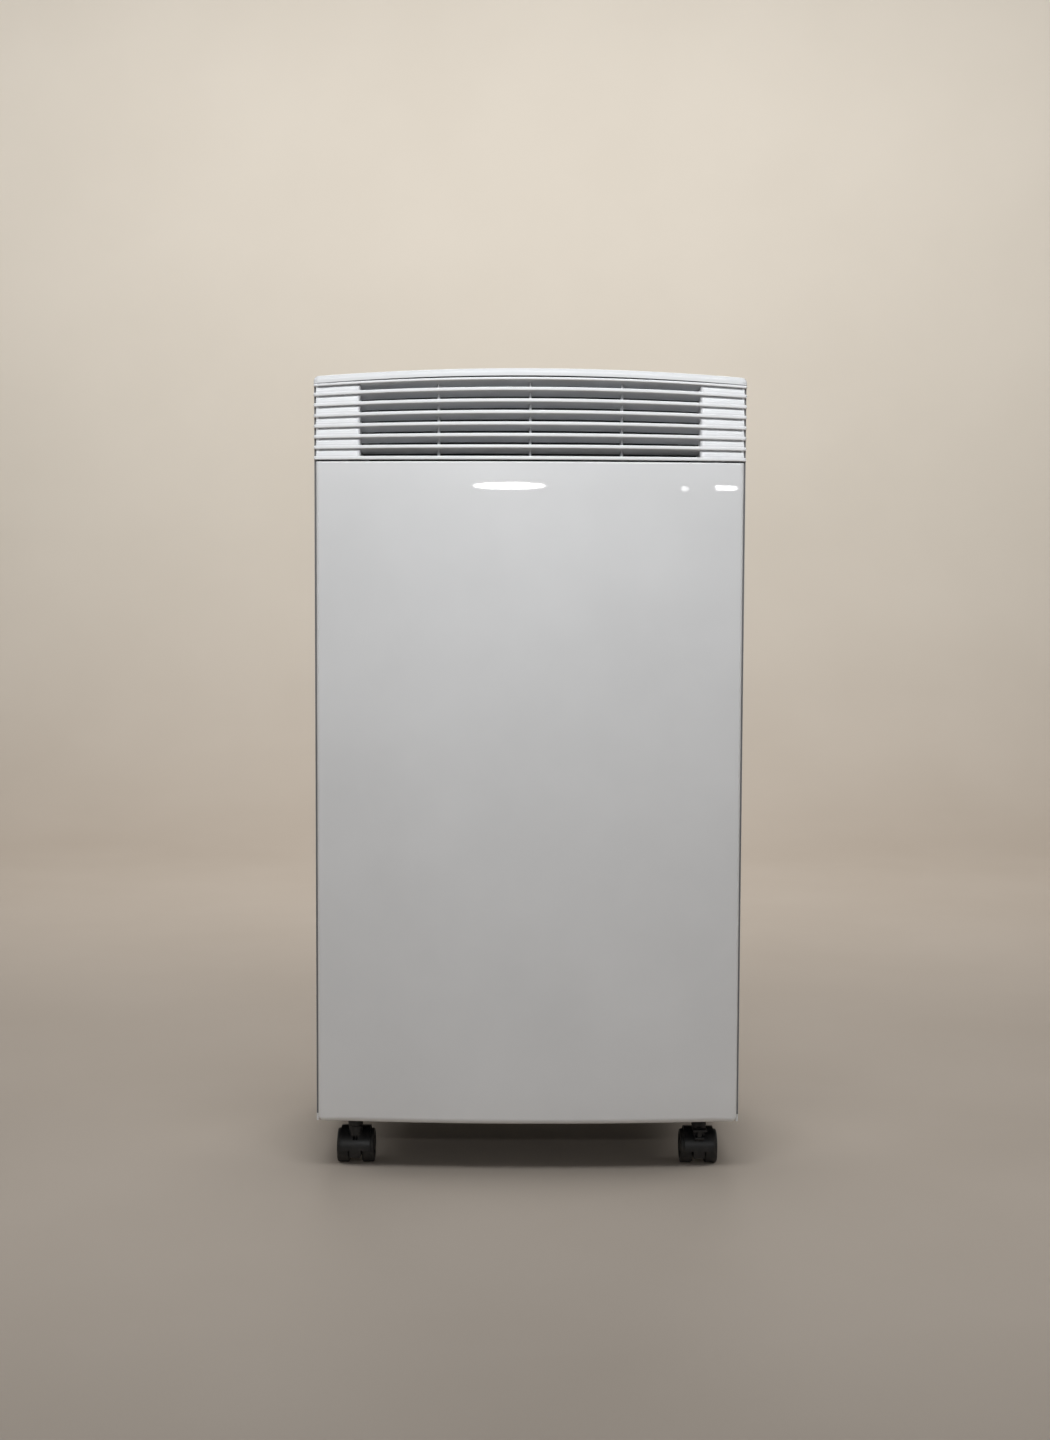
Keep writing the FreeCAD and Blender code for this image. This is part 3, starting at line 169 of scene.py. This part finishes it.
def two_tone(nodes, links, source, first, second):
    """Mixes two colours, each a tuple or another node's output."""
    mix = nodes.new("ShaderNodeMix")
    mix.data_type = "RGBA"
    for name, color in (("A", first), ("B", second)):
        if isinstance(color, tuple):
            mix.inputs[name].default_value = (*color, 1.0)
        else:
            links.new(color, mix.inputs[name])
    links.new(source, mix.inputs["Factor"])
    return mix.outputs["Result"]


def bump(nodes, links, height, depth):
    node = nodes.new("ShaderNodeBump")
    node.inputs["Distance"].default_value = depth
    node.inputs["Strength"].default_value = 1.0
    links.new(height, node.inputs["Height"])
    return node.outputs["Normal"]


def moulded(name, color, shade, roughness, grain=1500.0, depth=0.03 * MM, coat=0.0):
    """Moulded plastic or painted metal: a fine grain, a little mottling and an uneven gloss."""
    material, nodes, links, shader = new_material(name)
    coords = nodes.new("ShaderNodeTexCoord")
    broad = noise(nodes, links, coords, 9.0, 5.0)
    fine = noise(nodes, links, coords, grain, 2.0)
    tone = ramp(nodes, links, broad, *NOISE_SPAN, 0.0, 1.0)
    links.new(two_tone(nodes, links, tone, color, shade), shader.inputs["Base Color"])
    smudge = noise(nodes, links, coords, 30.0, 6.0)
    links.new(ramp(nodes, links, smudge, *NOISE_SPAN, *roughness), shader.inputs["Roughness"])
    links.new(bump(nodes, links, fine, depth), shader.inputs["Normal"])
    shader.inputs["Coat Weight"].default_value = coat
    shader.inputs["Coat Roughness"].default_value = 0.03
    return material


def drawn_metal(name, color, shade, roughness, along):
    """Bare metal with fine draw lines along one axis."""
    material, nodes, links, shader = new_material(name)
    coords = nodes.new("ShaderNodeTexCoord")
    lines = noise(nodes, links, coords, 60.0, 4.0, along)
    tone = ramp(nodes, links, noise(nodes, links, coords, 25.0, 5.0), *NOISE_SPAN, 0.0, 1.0)
    links.new(two_tone(nodes, links, tone, color, shade), shader.inputs["Base Color"])
    links.new(ramp(nodes, links, lines, *NOISE_SPAN, *roughness), shader.inputs["Roughness"])
    links.new(bump(nodes, links, lines, 0.02 * MM), shader.inputs["Normal"])
    shader.inputs["Metallic"].default_value = 1.0
    return material


def woven(name, color, shade, threads_per_metre):
    """Open plastic screen: two crossed sets of threads."""
    material, nodes, links, shader = new_material(name)
    coords = nodes.new("ShaderNodeTexCoord")
    sets = []
    for axis in ("X", "Z"):
        wave = nodes.new("ShaderNodeTexWave")
        wave.bands_direction = axis
        wave.inputs["Scale"].default_value = threads_per_metre / 20.0
        links.new(coords.outputs["Object"], wave.inputs["Vector"])
        sets.append(wave.outputs["Fac"])
    top = nodes.new("ShaderNodeMath")
    top.operation = "MAXIMUM"
    links.new(sets[0], top.inputs[0])
    links.new(sets[1], top.inputs[1])
    thread = top.outputs["Value"]
    links.new(two_tone(nodes, links, thread, shade, color), shader.inputs["Base Color"])
    links.new(bump(nodes, links, thread, 0.2 * MM), shader.inputs["Normal"])
    shader.inputs["Roughness"].default_value = 0.6
    return material


def dusty_black(name, color, dust, roughness, amount):
    """Black plastic or rubber with a light film of floor dust on it."""
    material, nodes, links, shader = new_material(name)
    coords = nodes.new("ShaderNodeTexCoord")
    film = noise(nodes, links, coords, 120.0, 6.0)
    tone = ramp(nodes, links, film, 0.45, 0.75, 0.0, amount)
    links.new(two_tone(nodes, links, tone, color, dust), shader.inputs["Base Color"])
    links.new(ramp(nodes, links, film, *NOISE_SPAN, *roughness), shader.inputs["Roughness"])
    grain = noise(nodes, links, coords, 1400.0, 2.0)
    links.new(bump(nodes, links, grain, 0.04 * MM), shader.inputs["Normal"])
    return material


def make_materials():
    """One material for each slot of the record, and a few for pieces made here."""
    plastics = {
        "shell_white": ((0.785, 0.785, 0.785), (0.742, 0.742, 0.742), (0.36, 0.42),
                        900.0, 0.003 * MM, 0.7),
        "casing_white": ((0.785, 0.79, 0.80), (0.76, 0.765, 0.77), (0.36, 0.46)),
        "grille_white": ((0.87, 0.875, 0.885), (0.84, 0.845, 0.855), (0.30, 0.38), 1500.0, 0.015 * MM),
        # painted shade: a darker, duller copy of the grille white for the blades and ribs, which sit in
        # shade behind the lips
        "grille_white_painted_shade": ((0.79, 0.80, 0.82), (0.76, 0.77, 0.79), (0.40, 0.50), 1500.0, 0.015 * MM),
        # painted shade in part: the base pan is made near black, which also darkens the shaded
        # underside between the casters
        "base_black": ((0.016, 0.016, 0.016), (0.022, 0.021, 0.020), (0.5, 0.65)),
        "fascia_grey": ((0.055, 0.057, 0.060), (0.048, 0.050, 0.052), (0.30, 0.35),
                        1200.0, 0.006 * MM),
        "lens_smoke": ((0.006, 0.006, 0.007), (0.008, 0.008, 0.009), (0.04, 0.08),
                       400.0, 0.001 * MM, 1.0),
        "button_grey": ((0.50, 0.51, 0.52), (0.47, 0.48, 0.49), (0.34, 0.42)),
        "board_green": ((0.01, 0.12, 0.05), (0.012, 0.09, 0.04), (0.25, 0.4)),
        "filter_grey": ((0.30, 0.31, 0.32), (0.27, 0.28, 0.29), (0.4, 0.5)),
        # painted shade: grey for the strips that stand in for the shade beside the front panel
        "painted_shade_grey": ((0.20, 0.20, 0.205), (0.16, 0.16, 0.165), (0.55, 0.7)),
        "compressor_black": ((0.012, 0.012, 0.012), (0.018, 0.018, 0.018), (0.18, 0.3),
                             300.0, 0.03 * MM, 0.4),
        "fan_plastic": ((0.03, 0.03, 0.032), (0.04, 0.04, 0.042), (0.4, 0.5)),
        "duct_grey": ((0.050, 0.051, 0.052), (0.042, 0.043, 0.044), (0.5, 0.65)),
        "tray_white": ((0.66, 0.66, 0.65), (0.60, 0.60, 0.59), (0.7, 0.85), 260.0, 0.2 * MM),
        "print_white": ((0.75, 0.75, 0.75), (0.70, 0.70, 0.70), (0.4, 0.5))}
    blacks = {
        "caster_black": ((0.010, 0.010, 0.011), (0.05, 0.047, 0.043), (0.30, 0.45), 0.35),
        "wheel_black": ((0.009, 0.009, 0.009), (0.08, 0.072, 0.062), (0.45, 0.7), 0.6),
        "seal_rubber": ((0.018, 0.018, 0.018), (0.06, 0.06, 0.055), (0.55, 0.75), 0.4)}
    metals = {
        "steel": ((0.60, 0.60, 0.59), (0.48, 0.48, 0.47), (0.25, 0.42), (1, 1, 12)),
        # painted shade: near-black steel for the caster stems, so they sit dark in the shade under the
        # cabinet
        "stem_steel": ((0.05, 0.05, 0.05), (0.03, 0.03, 0.03), (0.35, 0.5), (1, 1, 12)),
        "fin_aluminium": ((0.80, 0.81, 0.82), (0.66, 0.67, 0.68), (0.3, 0.45), (1, 1, 20)),
        "copper": ((0.86, 0.42, 0.26), (0.62, 0.28, 0.17), (0.22, 0.4), (1, 1, 8)),
        "motor_steel": ((0.52, 0.53, 0.54), (0.42, 0.43, 0.44), (0.35, 0.5), (1, 10, 1)),
        "capacitor_can": ((0.70, 0.70, 0.70), (0.60, 0.60, 0.60), (0.25, 0.4), (1, 1, 10))}
    made = {"screen_dark": woven("screen_dark", (0.10, 0.10, 0.11), (0.012, 0.012, 0.012), 700.0)}
    for build, table in ((moulded, plastics), (dusty_black, blacks), (drawn_metal, metals)):
        for name, values in table.items():
            made[name] = build(name, *values)
    return made


METALS = ("steel", "copper", "fin_aluminium", "motor_steel", "capacitor_can")


# ---- CAD nodes: materials and softened edges ----------------------------------------------------
def dress_cad_nodes(materials):
    slots = {part["node"]: part["material_slot"] for part in frame["record"]["subparts"]}
    for name, node in frame["nodes"].items():
        slot_name = slots[name]
        # painted shade: the caster stems take the near-black steel so they look shaded under the
        # cabinet
        finish = "stem_steel" if name == "caster_stems" else slot_name
        node.data.materials.clear()
        node.data.materials.append(materials[finish])
        for polygon in node.data.polygons:
            polygon.use_smooth = True
        soften(node, METAL_EDGE if slot_name in METALS else MOULD_EDGE)


def soften(node, width):
    """Joins the CAD mesh's faces, rounds its sharp edges a little and evens the shading."""
    weld = node.modifiers.new("weld", "WELD")
    weld.merge_threshold = TINY
    round_edges(node, width, EDGE_ANGLE)
    even = node.modifiers.new("even", "WEIGHTED_NORMAL")
    even.weight = 100
    even.keep_sharp = False


def round_edges(piece, width, degrees):
    bevel = piece.modifiers.new("edge", "BEVEL")
    bevel.limit_method = "ANGLE"
    bevel.angle_limit = math.radians(degrees)
    bevel.width = width
    bevel.segments = 2
    bevel.use_clamp_overlap = True
    bevel.loop_slide = False


# ---- mesh helpers -------------------------------------------------------------------------------
def link(name, builder, material, body):
    mesh = bpy.data.meshes.new(name)
    builder.to_mesh(mesh)
    builder.free()
    mesh.materials.append(material)
    piece = bpy.data.objects.new(name, mesh)
    bpy.context.scene.collection.objects.link(piece)
    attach(piece, body)
    return piece


def spread(start, end, count):
    return [start + (end - start) * i / count for i in range(count + 1)]


def loft(builder, rings):
    """Closed solid through rings of points; every ring has the same number of points."""
    made = [[builder.verts.new(point) for point in ring] for ring in rings]
    count = len(made[0])
    for first, second in zip(made, made[1:]):
        for i in range(count):
            j = (i + 1) % count
            builder.faces.new((first[i], first[j], second[j], second[i]))
    builder.faces.new(reversed(made[0]))
    builder.faces.new(made[-1])


def add_box(builder, low, high):
    corners = [(low[0], low[1]), (high[0], low[1]), (high[0], high[1]), (low[0], high[1])]
    loft(builder, [[(x, y, z) for x, y in corners] for z in (low[2], high[2])])


def finish_builder(builder, merge=TINY):
    bmesh.ops.remove_doubles(builder, verts=builder.verts, dist=merge)
    bmesh.ops.recalc_face_normals(builder, faces=builder.faces)
    for surface in builder.faces:
        surface.smooth = True


def sharpen(piece, width=0.0):
    """Even shading on broad faces, with true edges rounded if a width is given."""
    if width:
        round_edges(piece, width, PIECE_EDGE_ANGLE)
    even = piece.modifiers.new("even", "WEIGHTED_NORMAL")
    even.weight = 100


# ---- front panel --------------------------------------------------------------------------------
def quarter(distance, radius):
    """How far a rounded edge has fallen back at a distance from the outline."""
    if distance >= radius:
        return 0.0
    return radius - math.sqrt(max(radius ** 2 - (radius - distance) ** 2, 0.0))


def panel_columns(half):
    """X stations: close together over the rounded edges, wide over the middle."""
    reach = PANEL_CORNER_R
    near = [half - reach * (1 - math.sin(math.radians(a))) for a in range(90, -1, -6)]
    near = sorted(set(round(x, 7) for x in near))
    middle = [near[0] * (2 * i / PANEL_STATIONS - 1) for i in range(1, PANEL_STATIONS)]
    return [-x for x in reversed(near)] + middle + near


def panel_profile(low_z, high_z, front_y, back_y):
    """Side view of one column, from the back of the foot round the front to the back of the top."""
    foot = min(PANEL_FOOT_R, back_y - front_y - PANEL_MIN_WALL)
    top = min(PANEL_TOP_R, back_y - front_y - PANEL_MIN_WALL)
    points = [(back_y, low_z)]
    for i in range(11):
        a = math.radians(9 * i)
        points.append((front_y + foot - foot * math.sin(a), low_z + foot - foot * math.cos(a)))
    rise = high_z - top - (low_z + foot)
    for i in range(1, PANEL_ROWS):
        points.append((front_y, low_z + foot + rise * i / PANEL_ROWS))
    for i in range(9):
        a = math.radians(90 * i / 8)
        points.append((front_y + top - top * math.cos(a), high_z - top + top * math.sin(a)))
    points.append((back_y, high_z))
    return points


def front_panel(material):
    low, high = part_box("front_panel")
    half = high.x
    radius = (half ** 2 + BOW_DEPTH ** 2) / (2 * BOW_DEPTH)
    builder = bmesh.new()
    rows = []
    for x in panel_columns(half):
        edge = half - abs(x)
        front_y = low.y + radius - math.sqrt(radius ** 2 - x ** 2) + quarter(edge, PANEL_SIDE_R)
        low_z = low.z + quarter(edge, PANEL_CORNER_R)
        profile = panel_profile(low_z, high.z, front_y, high.y)
        rows.append([builder.verts.new((x, y, z)) for y, z in profile])
    flanges = [[builder.verts.new((vert.co.x, high.y, vert.co.z)) for vert in row]
               for row in (rows[0], rows[-1])]
    rows = [flanges[0]] + rows + [flanges[1]]
    for left, right in zip(rows, rows[1:]):
        for i in range(len(left) - 1):
            builder.faces.new((left[i], right[i], right[i + 1], left[i + 1]))
    finish_builder(builder, PANEL_MERGE)
    piece = link("front_panel_shell", builder, material, "cabinet")
    wall = piece.modifiers.new("wall", "SOLIDIFY")
    wall.thickness = PANEL_WALL
    wall.offset = -1.0
    wall.use_even_offset = True
    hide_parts("front_panel")


# ---- discharge grille ---------------------------------------------------------------------------
def bow_y(x, inset=0.0):
    return FRONT_Y + inset + BOW_RADIUS - math.sqrt(BOW_RADIUS ** 2 - x ** 2)


def slat_z(index, x, offset=0.0):
    """Height of a slat's middle line at x: the upper slats follow the crown of the cover."""
    last = SLAT_COUNT - 1
    crown = SLAT_RIM_Z if index == last else SLAT_FIRST_Z + SLAT_PITCH * index
    drop = SLAT_FIRST_DROP + (SLAT_LAST_DROP - SLAT_FIRST_DROP) * index / last
    return crown - drop * (x / CASE_HALF) ** 2 + offset


def lip_half(index):
    return (RIM_LIP_HEIGHT if index == SLAT_COUNT - 1 else LIP_HEIGHT) / 2


def wrap_path():
    """Outline of the grille from its left rear end round the bow to the right, with normals."""
    r = GRILLE_CORNER_R
    turn_x = (CASE_HALF - r) / (1 - r / BOW_RADIUS)
    lean = math.asin(turn_x / BOW_RADIUS)
    centre = (CASE_HALF - r, bow_y(turn_x) + r * math.cos(lean))
    half = [((x, bow_y(x)), (x / BOW_RADIUS, -math.sqrt(1 - (x / BOW_RADIUS) ** 2)))
            for x in spread(0.0, turn_x, 40)]
    for angle in spread(lean - math.pi / 2, 0.0, 8)[1:]:
        normal = (math.cos(angle), math.sin(angle))
        half.append(((centre[0] + r * normal[0], centre[1] + r * normal[1]), normal))
    half.append(((CASE_HALF, GRILLE_BACK_Y), (1.0, 0.0)))
    other = [((-x, y), (-nx, ny)) for (x, y), (nx, ny) in half[1:]]
    return list(reversed(other)) + half


def lip_profile(half):
    """Section of a lip: (depth behind the face, height), with a rounded nose."""
    r = min(LIP_ROUND, half * 0.85)
    points = [(LIP_DEPTH, half)]
    points += [(r - r * math.sin(a), half - r + r * math.cos(a)) for a in spread(0.0, math.pi / 2, 5)]
    points += [(r - r * math.cos(a), r - half - r * math.sin(a)) for a in spread(0.0, math.pi / 2, 5)]
    points.append((LIP_DEPTH, -half))
    return points


def add_lip(builder, index, path):
    profile = lip_profile(lip_half(index))
    rings = []
    for (x, y), (nx, ny) in path:
        z = slat_z(index, x)
        rings.append([(x - nx * depth, y - ny * depth, z + rise) for depth, rise in profile])
    loft(builder, rings)


def add_blade(builder, index):
    """Thin slat that falls away behind a lip, with its rear edge rounded."""
    front, back = BLADE_DEPTH
    fall = BLADE_SLOPE * (back - front)
    half = BLADE_THICK / 2
    section = ((front, half), (front, -half), (back - BLADE_TIP, -fall - half),
               (back, -fall - half * 0.4), (back, -fall + half * 0.4), (back - BLADE_TIP, -fall + half))
    rings = []
    for x in spread(-OPENING_HALF, OPENING_HALF, 48):
        z = slat_z(index, x, -BLADE_SET - BLADE_SLOPE * front)
        rings.append([(x, bow_y(x, depth), z + rise) for depth, rise in section])
    loft(builder, rings)


def block_profile(height):
    """Three shallow steps, each set back a little from the one below it."""
    back = GROOVE_DEPTH + 1 * MM
    points = [(back, -LIP_HEIGHT / 2), (BLOCK_STEP_BACK, -LIP_HEIGHT / 2)]
    low = 0.0
    for step in range(3):
        face = BLOCK_STEP_BACK * (step + 1)
        high = BLOCK_STEP * (step + 1) if step < 2 else height
        points += [(face, low + (BLOCK_EDGE if step else 0.0)), (face, high - BLOCK_EDGE),
                   (face + BLOCK_EDGE, high)]
        low = high
    points.append((back, height))
    return points


def add_end_block(builder, index, side):
    """Filler beside one end of an opening; its outer top corner is rounded."""
    bend = BLOCK_END - BLOCK_CORNER_R
    rings = []
    for x in spread(OPENING_HALF, bend, 10)[:-1] + spread(bend, BLOCK_END, 8):
        floor_z = slat_z(index, x, LIP_HEIGHT / 2)
        height = slat_z(index + 1, x, -lip_half(index + 1) - GROOVE_HEIGHT) - floor_z
        reach = max(x - bend, 0.0)
        limit = height - BLOCK_CORNER_R + math.sqrt(max(BLOCK_CORNER_R ** 2 - reach ** 2, 0.0))
        rings.append([(side * x, bow_y(x, depth), floor_z + min(rise, limit))
                      for depth, rise in block_profile(height)])
    loft(builder, rings)


def add_band(builder, x0, x1, depths, index_low, index_high):
    """Upright wall that follows the bow between two slats."""
    rings = []
    for x in spread(x0, x1, 12):
        low_z, high_z = slat_z(index_low, x), slat_z(index_high, x)
        rings.append([(x, bow_y(x, depths[0]), low_z), (x, bow_y(x, depths[1]), low_z),
                      (x, bow_y(x, depths[1]), high_z), (x, bow_y(x, depths[0]), high_z)])
    loft(builder, rings)


def add_grille_frame(builder):
    """Walls behind the grooves, at the ends of the openings and at the cabinet's sides."""
    last = SLAT_COUNT - 1
    cheek_x = CASE_HALF - LIP_DEPTH
    for side in (-1, 1):
        inner, outer = sorted((side * OPENING_HALF, side * cheek_x))
        add_band(builder, inner, outer, (GROOVE_DEPTH, GROOVE_DEPTH + GROOVE_BACK), 0, last)
        inner, outer = sorted((side * OPENING_HALF, side * (OPENING_HALF + SIDE_WALL)))
        add_band(builder, inner, outer, (GROOVE_DEPTH, SIDE_WALL_DEPTH), 0, last)
        inner, outer = sorted((side * (cheek_x - SIDE_WALL), side * (cheek_x + OVERLAP)))
        top_z = slat_z(last, cheek_x)
        add_box(builder, (inner, bow_y(cheek_x, LIP_DEPTH), SLAT_FIRST_Z),
                (outer, GRILLE_BACK_Y, top_z))


def add_rib(builder, x):
    face_y = bow_y(abs(x))
    add_box(builder, (x - RIB_WIDTH / 2, face_y + RIB_DEPTH[0], SLAT_FIRST_Z),
            (x + RIB_WIDTH / 2, face_y + RIB_DEPTH[1], slat_z(SLAT_COUNT - 1, x)))


def discharge_grille(white, shaded_white):
    lips, blades, blocks, walls = (bmesh.new() for _ in range(4))
    path = wrap_path()
    for index in range(SLAT_COUNT):
        add_lip(lips, index, path)
    for index in range(1, SLAT_COUNT):
        add_blade(blades, index)
    for index in range(SLAT_COUNT - 1):
        for side in (-1, 1):
            add_end_block(blocks, index, side)
    add_grille_frame(walls)
    # the ribs are built with the blades so they take the same painted shade
    for x in RIB_XS:
        add_rib(blades, x)
    for name, builder, material, width in (
            ("grille_lips", lips, white, 0.0), ("grille_blades", blades, shaded_white, 0.0),
            ("grille_end_blocks", blocks, white, 0.0), ("grille_frame", walls, white, FRAME_EDGE)):
        finish_builder(builder)
        piece = link(name, builder, material, "cabinet")
        sharpen(piece, width)
        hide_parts("discharge_grille")


def front_shade_strips(material):
    """Grey strip that stands in for the shade in the gap between the front panel and each side panel:
    painted shade.
    """
    panel_low, panel_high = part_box("front_panel")
    _, cover_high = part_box("top_cover")
    for name, side in (("left", -1), ("right", 1)):
        inner, outer = sorted((side * (CASE_HALF - SHADE_STRIP_INNER), side * (CASE_HALF - SHADE_STRIP_OUTER)))
        builder = bmesh.new()
        add_box(builder, (inner, panel_high.y + SHADE_STRIP_DEPTH[0], panel_low.z + SHADE_STRIP_FOOT),
                (outer, panel_high.y + SHADE_STRIP_DEPTH[1], cover_high.z - SHADE_STRIP_TOP))
        finish_builder(builder)
        piece = link("front_shade_strip_" + name, builder, material, "cabinet")
        sharpen(piece, SHADE_STRIP_EDGE)


# ---- plain marks printed in front of the buttons ------------------------------------------------
def print_z(x):
    """Height of the fascia's crowned face."""
    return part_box("top_cover")[1].z - FASCIA_SINK - CROWN_DROP * (x / CASE_HALF) ** 2


def add_stroke(builder, points, width=PRINT_WIDTH):
    """Flat printed line through points on the fascia."""
    rings = []
    for i, point in enumerate(points):
        along = points[min(i + 1, len(points) - 1)] - points[max(i - 1, 0)]
        across = Vector((-along.y, along.x)).normalized() * width / 2
        sides = (point - across, point + across)
        low = [(side.x, side.y, print_z(side.x) - PRINT_SINK) for side in sides]
        high = [(side.x, side.y, print_z(side.x) + PRINT_RISE) for side in reversed(sides)]
        rings.append(low + high)
    loft(builder, rings)


def on_circle(center, radius, degrees):
    turn = math.radians(degrees)
    return center + radius * Vector((math.cos(turn), math.sin(turn)))


def mark_power(builder, center):
    add_stroke(builder, [on_circle(center, MARK_SIZE, 125 + 290 * i / 24) for i in range(25)])
    add_stroke(builder, [center + Vector((0, 0.3 * MARK_SIZE)), center + Vector((0, 1.3 * MARK_SIZE))])


def mark_mode(builder, center):
    for turn in range(0, 360, 60):
        add_stroke(builder, [on_circle(center, reach * MARK_SIZE, turn) for reach in (0.12, 1.15)])


def mark_fan(builder, center):
    vane = ((0.2, 0), (0.6, 12), (0.9, 34), (1.05, 62))
    for turn in range(90, 450, 120):
        add_stroke(builder, [on_circle(center, MARK_SIZE * reach, turn + lean) for reach, lean in vane],
                   1.6 * PRINT_WIDTH)


def mark_down(builder, center):
    corners = ((-0.9, 0.4), (0, -0.5), (0.9, 0.4))
    add_stroke(builder, [center + MARK_SIZE * Vector(corner) for corner in corners])


def mark_up(builder, center):
    corners = ((-0.9, -0.4), (0, 0.5), (0.9, -0.4))
    add_stroke(builder, [center + MARK_SIZE * Vector(corner) for corner in corners])


def fascia_marks(material):
    builder = bmesh.new()
    for name, mark in (("power", mark_power), ("mode", mark_mode), ("fan_speed", mark_fan),
                       ("temp_down", mark_down), ("temp_up", mark_up)):
        low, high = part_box("button_" + name)
        mark(builder, Vector(((low.x + high.x) / 2, low.y - MARK_GAP)))
    finish_builder(builder)
    link("fascia_marks", builder, material, "cabinet")


# ---- stage, light and camera --------------------------------------------------------------------
def stage_material():
    """Paper backdrop, a shade darker where it lies on the floor."""
    material, nodes, links, shader = new_material("studio_paper")
    coords = nodes.new("ShaderNodeTexCoord")
    split = nodes.new("ShaderNodeSeparateXYZ")
    links.new(coords.outputs["Object"], split.inputs[0])
    height = ramp(nodes, links, split.outputs["Z"], 0.0, 0.9, 0.0, 1.0)
    mottle = ramp(nodes, links, noise(nodes, links, coords, 3.0, 3.0), *NOISE_SPAN, 0.0, 1.0)
    floor = two_tone(nodes, links, mottle, (0.47, 0.41, 0.35), (0.45, 0.39, 0.33))
    wall = two_tone(nodes, links, mottle, (0.70, 0.65, 0.575), (0.68, 0.63, 0.555))
    links.new(two_tone(nodes, links, height, floor, wall), shader.inputs["Base Color"])
    shader.inputs["Roughness"].default_value = 0.8
    return material


def studio_sweep():
    """Pale floor that curves up into a backdrop."""
    bend = STAGE_BEND
    outline = [(STAGE_FRONT, 0.0), (STAGE_BACK - bend, 0.0)]
    outline += [(STAGE_BACK - bend + bend * math.sin(a), bend - bend * math.cos(a))
                for a in [math.radians(7.5 * i) for i in range(1, 12)]]
    outline += [(STAGE_BACK, bend), (STAGE_BACK, STAGE_TOP)]
    builder = bmesh.new()
    left = [builder.verts.new((-STAGE_HALF, y, z)) for y, z in outline]
    right = [builder.verts.new((STAGE_HALF, y, z)) for y, z in outline]
    for i in range(len(outline) - 1):
        builder.faces.new((left[i], right[i], right[i + 1], left[i + 1]))
    for surface in builder.faces:
        surface.smooth = True
    mesh = bpy.data.meshes.new("studio_floor")
    builder.to_mesh(mesh)
    builder.free()
    mesh.materials.append(stage_material())
    floor = bpy.data.objects.new("studio_floor", mesh)
    bpy.context.scene.collection.objects.link(floor)


def area_light(name, place, target, size, power, color=(1.0, 1.0, 1.0), cone=180, shape="RECTANGLE"):
    data = bpy.data.lights.new(name, "AREA")
    data.shape = shape
    data.size, data.size_y = size
    data.energy = power
    data.color = color
    data.spread = math.radians(cone)
    light = bpy.data.objects.new(name, data)
    light.location = place
    light.rotation_euler = (Vector(target) - Vector(place)).to_track_quat("-Z", "Y").to_euler()
    light.visible_camera = False
    bpy.context.scene.collection.objects.link(light)


def light_scene():
    """Soft light from above the front and all round, and small lamps that leave the panel's glints."""
    middle = (0.0, 0.0, 0.5)
    area_light("key_above_front", (0.0, -0.93, 1.38), (0.0, -0.17, 0.72), (1.1, 0.3), 4.4,
               (0.95, 0.975, 1.0), 120)
    area_light("wash_left", (-2.3, 0.1, 1.9), middle, (1.6, 1.0), 12.0)
    area_light("wash_right", (2.3, 0.1, 1.9), middle, (1.6, 1.0), 12.0)
    area_light("wash_back", (0.0, 1.6, 1.9), (0.0, 0.1, 0.5), (1.6, 1.0), 16.0)
    area_light("backdrop_wash", (0.0, 1.2, 3.0), (0.0, 3.2, 1.0), (5.0, 0.8), 46.0,
               (1.0, 0.985, 0.96), 120)
    area_light("lamp_left", (-0.071, -2.10, 0.879), (-0.071, -0.17, 0.741), (0.285, 0.058), 3.0,
               shape="ELLIPSE")
    area_light("lamp_right", (0.821, -2.10, 0.878), (0.2, -0.17, 0.741), (0.080, 0.042), 0.35)
    area_light("lamp_far", (0.643, -2.10, 0.866), (0.15, -0.17, 0.736), (0.030, 0.045), 0.05,
               shape="ELLIPSE")
    world = bpy.data.worlds.new("studio")
    world.use_nodes = True
    background = world.node_tree.nodes["Background"]
    background.inputs["Color"].default_value = WORLD_COLOR
    background.inputs["Strength"].default_value = WORLD_STRENGTH
    bpy.context.scene.world = world
    bpy.context.scene.view_settings.view_transform = "Standard"


def place_camera():
    data = bpy.data.cameras.new("camera")
    data.lens = CAMERA_LENS
    data.sensor_width = 36.0
    camera = bpy.data.objects.new("camera", data)
    camera.location = CAMERA_AT
    camera.rotation_mode = "XYZ"
    turns = (90 - CAMERA_PITCH, CAMERA_ROLL, CAMERA_YAW)
    camera.rotation_euler = [math.radians(turn) for turn in turns]
    bpy.context.scene.collection.objects.link(camera)
    bpy.context.scene.camera = camera


# ---- build --------------------------------------------------------------------------------------
place_camera()
light_scene()
studio_sweep()
MATERIALS = make_materials()
dress_cad_nodes(MATERIALS)
front_panel(MATERIALS["shell_white"])
discharge_grille(MATERIALS["grille_white"], MATERIALS["grille_white_painted_shade"])
# painted shade: grey strips in the gaps beside the front panel
front_shade_strips(MATERIALS["painted_shade_grey"])
fascia_marks(MATERIALS["print_white"])
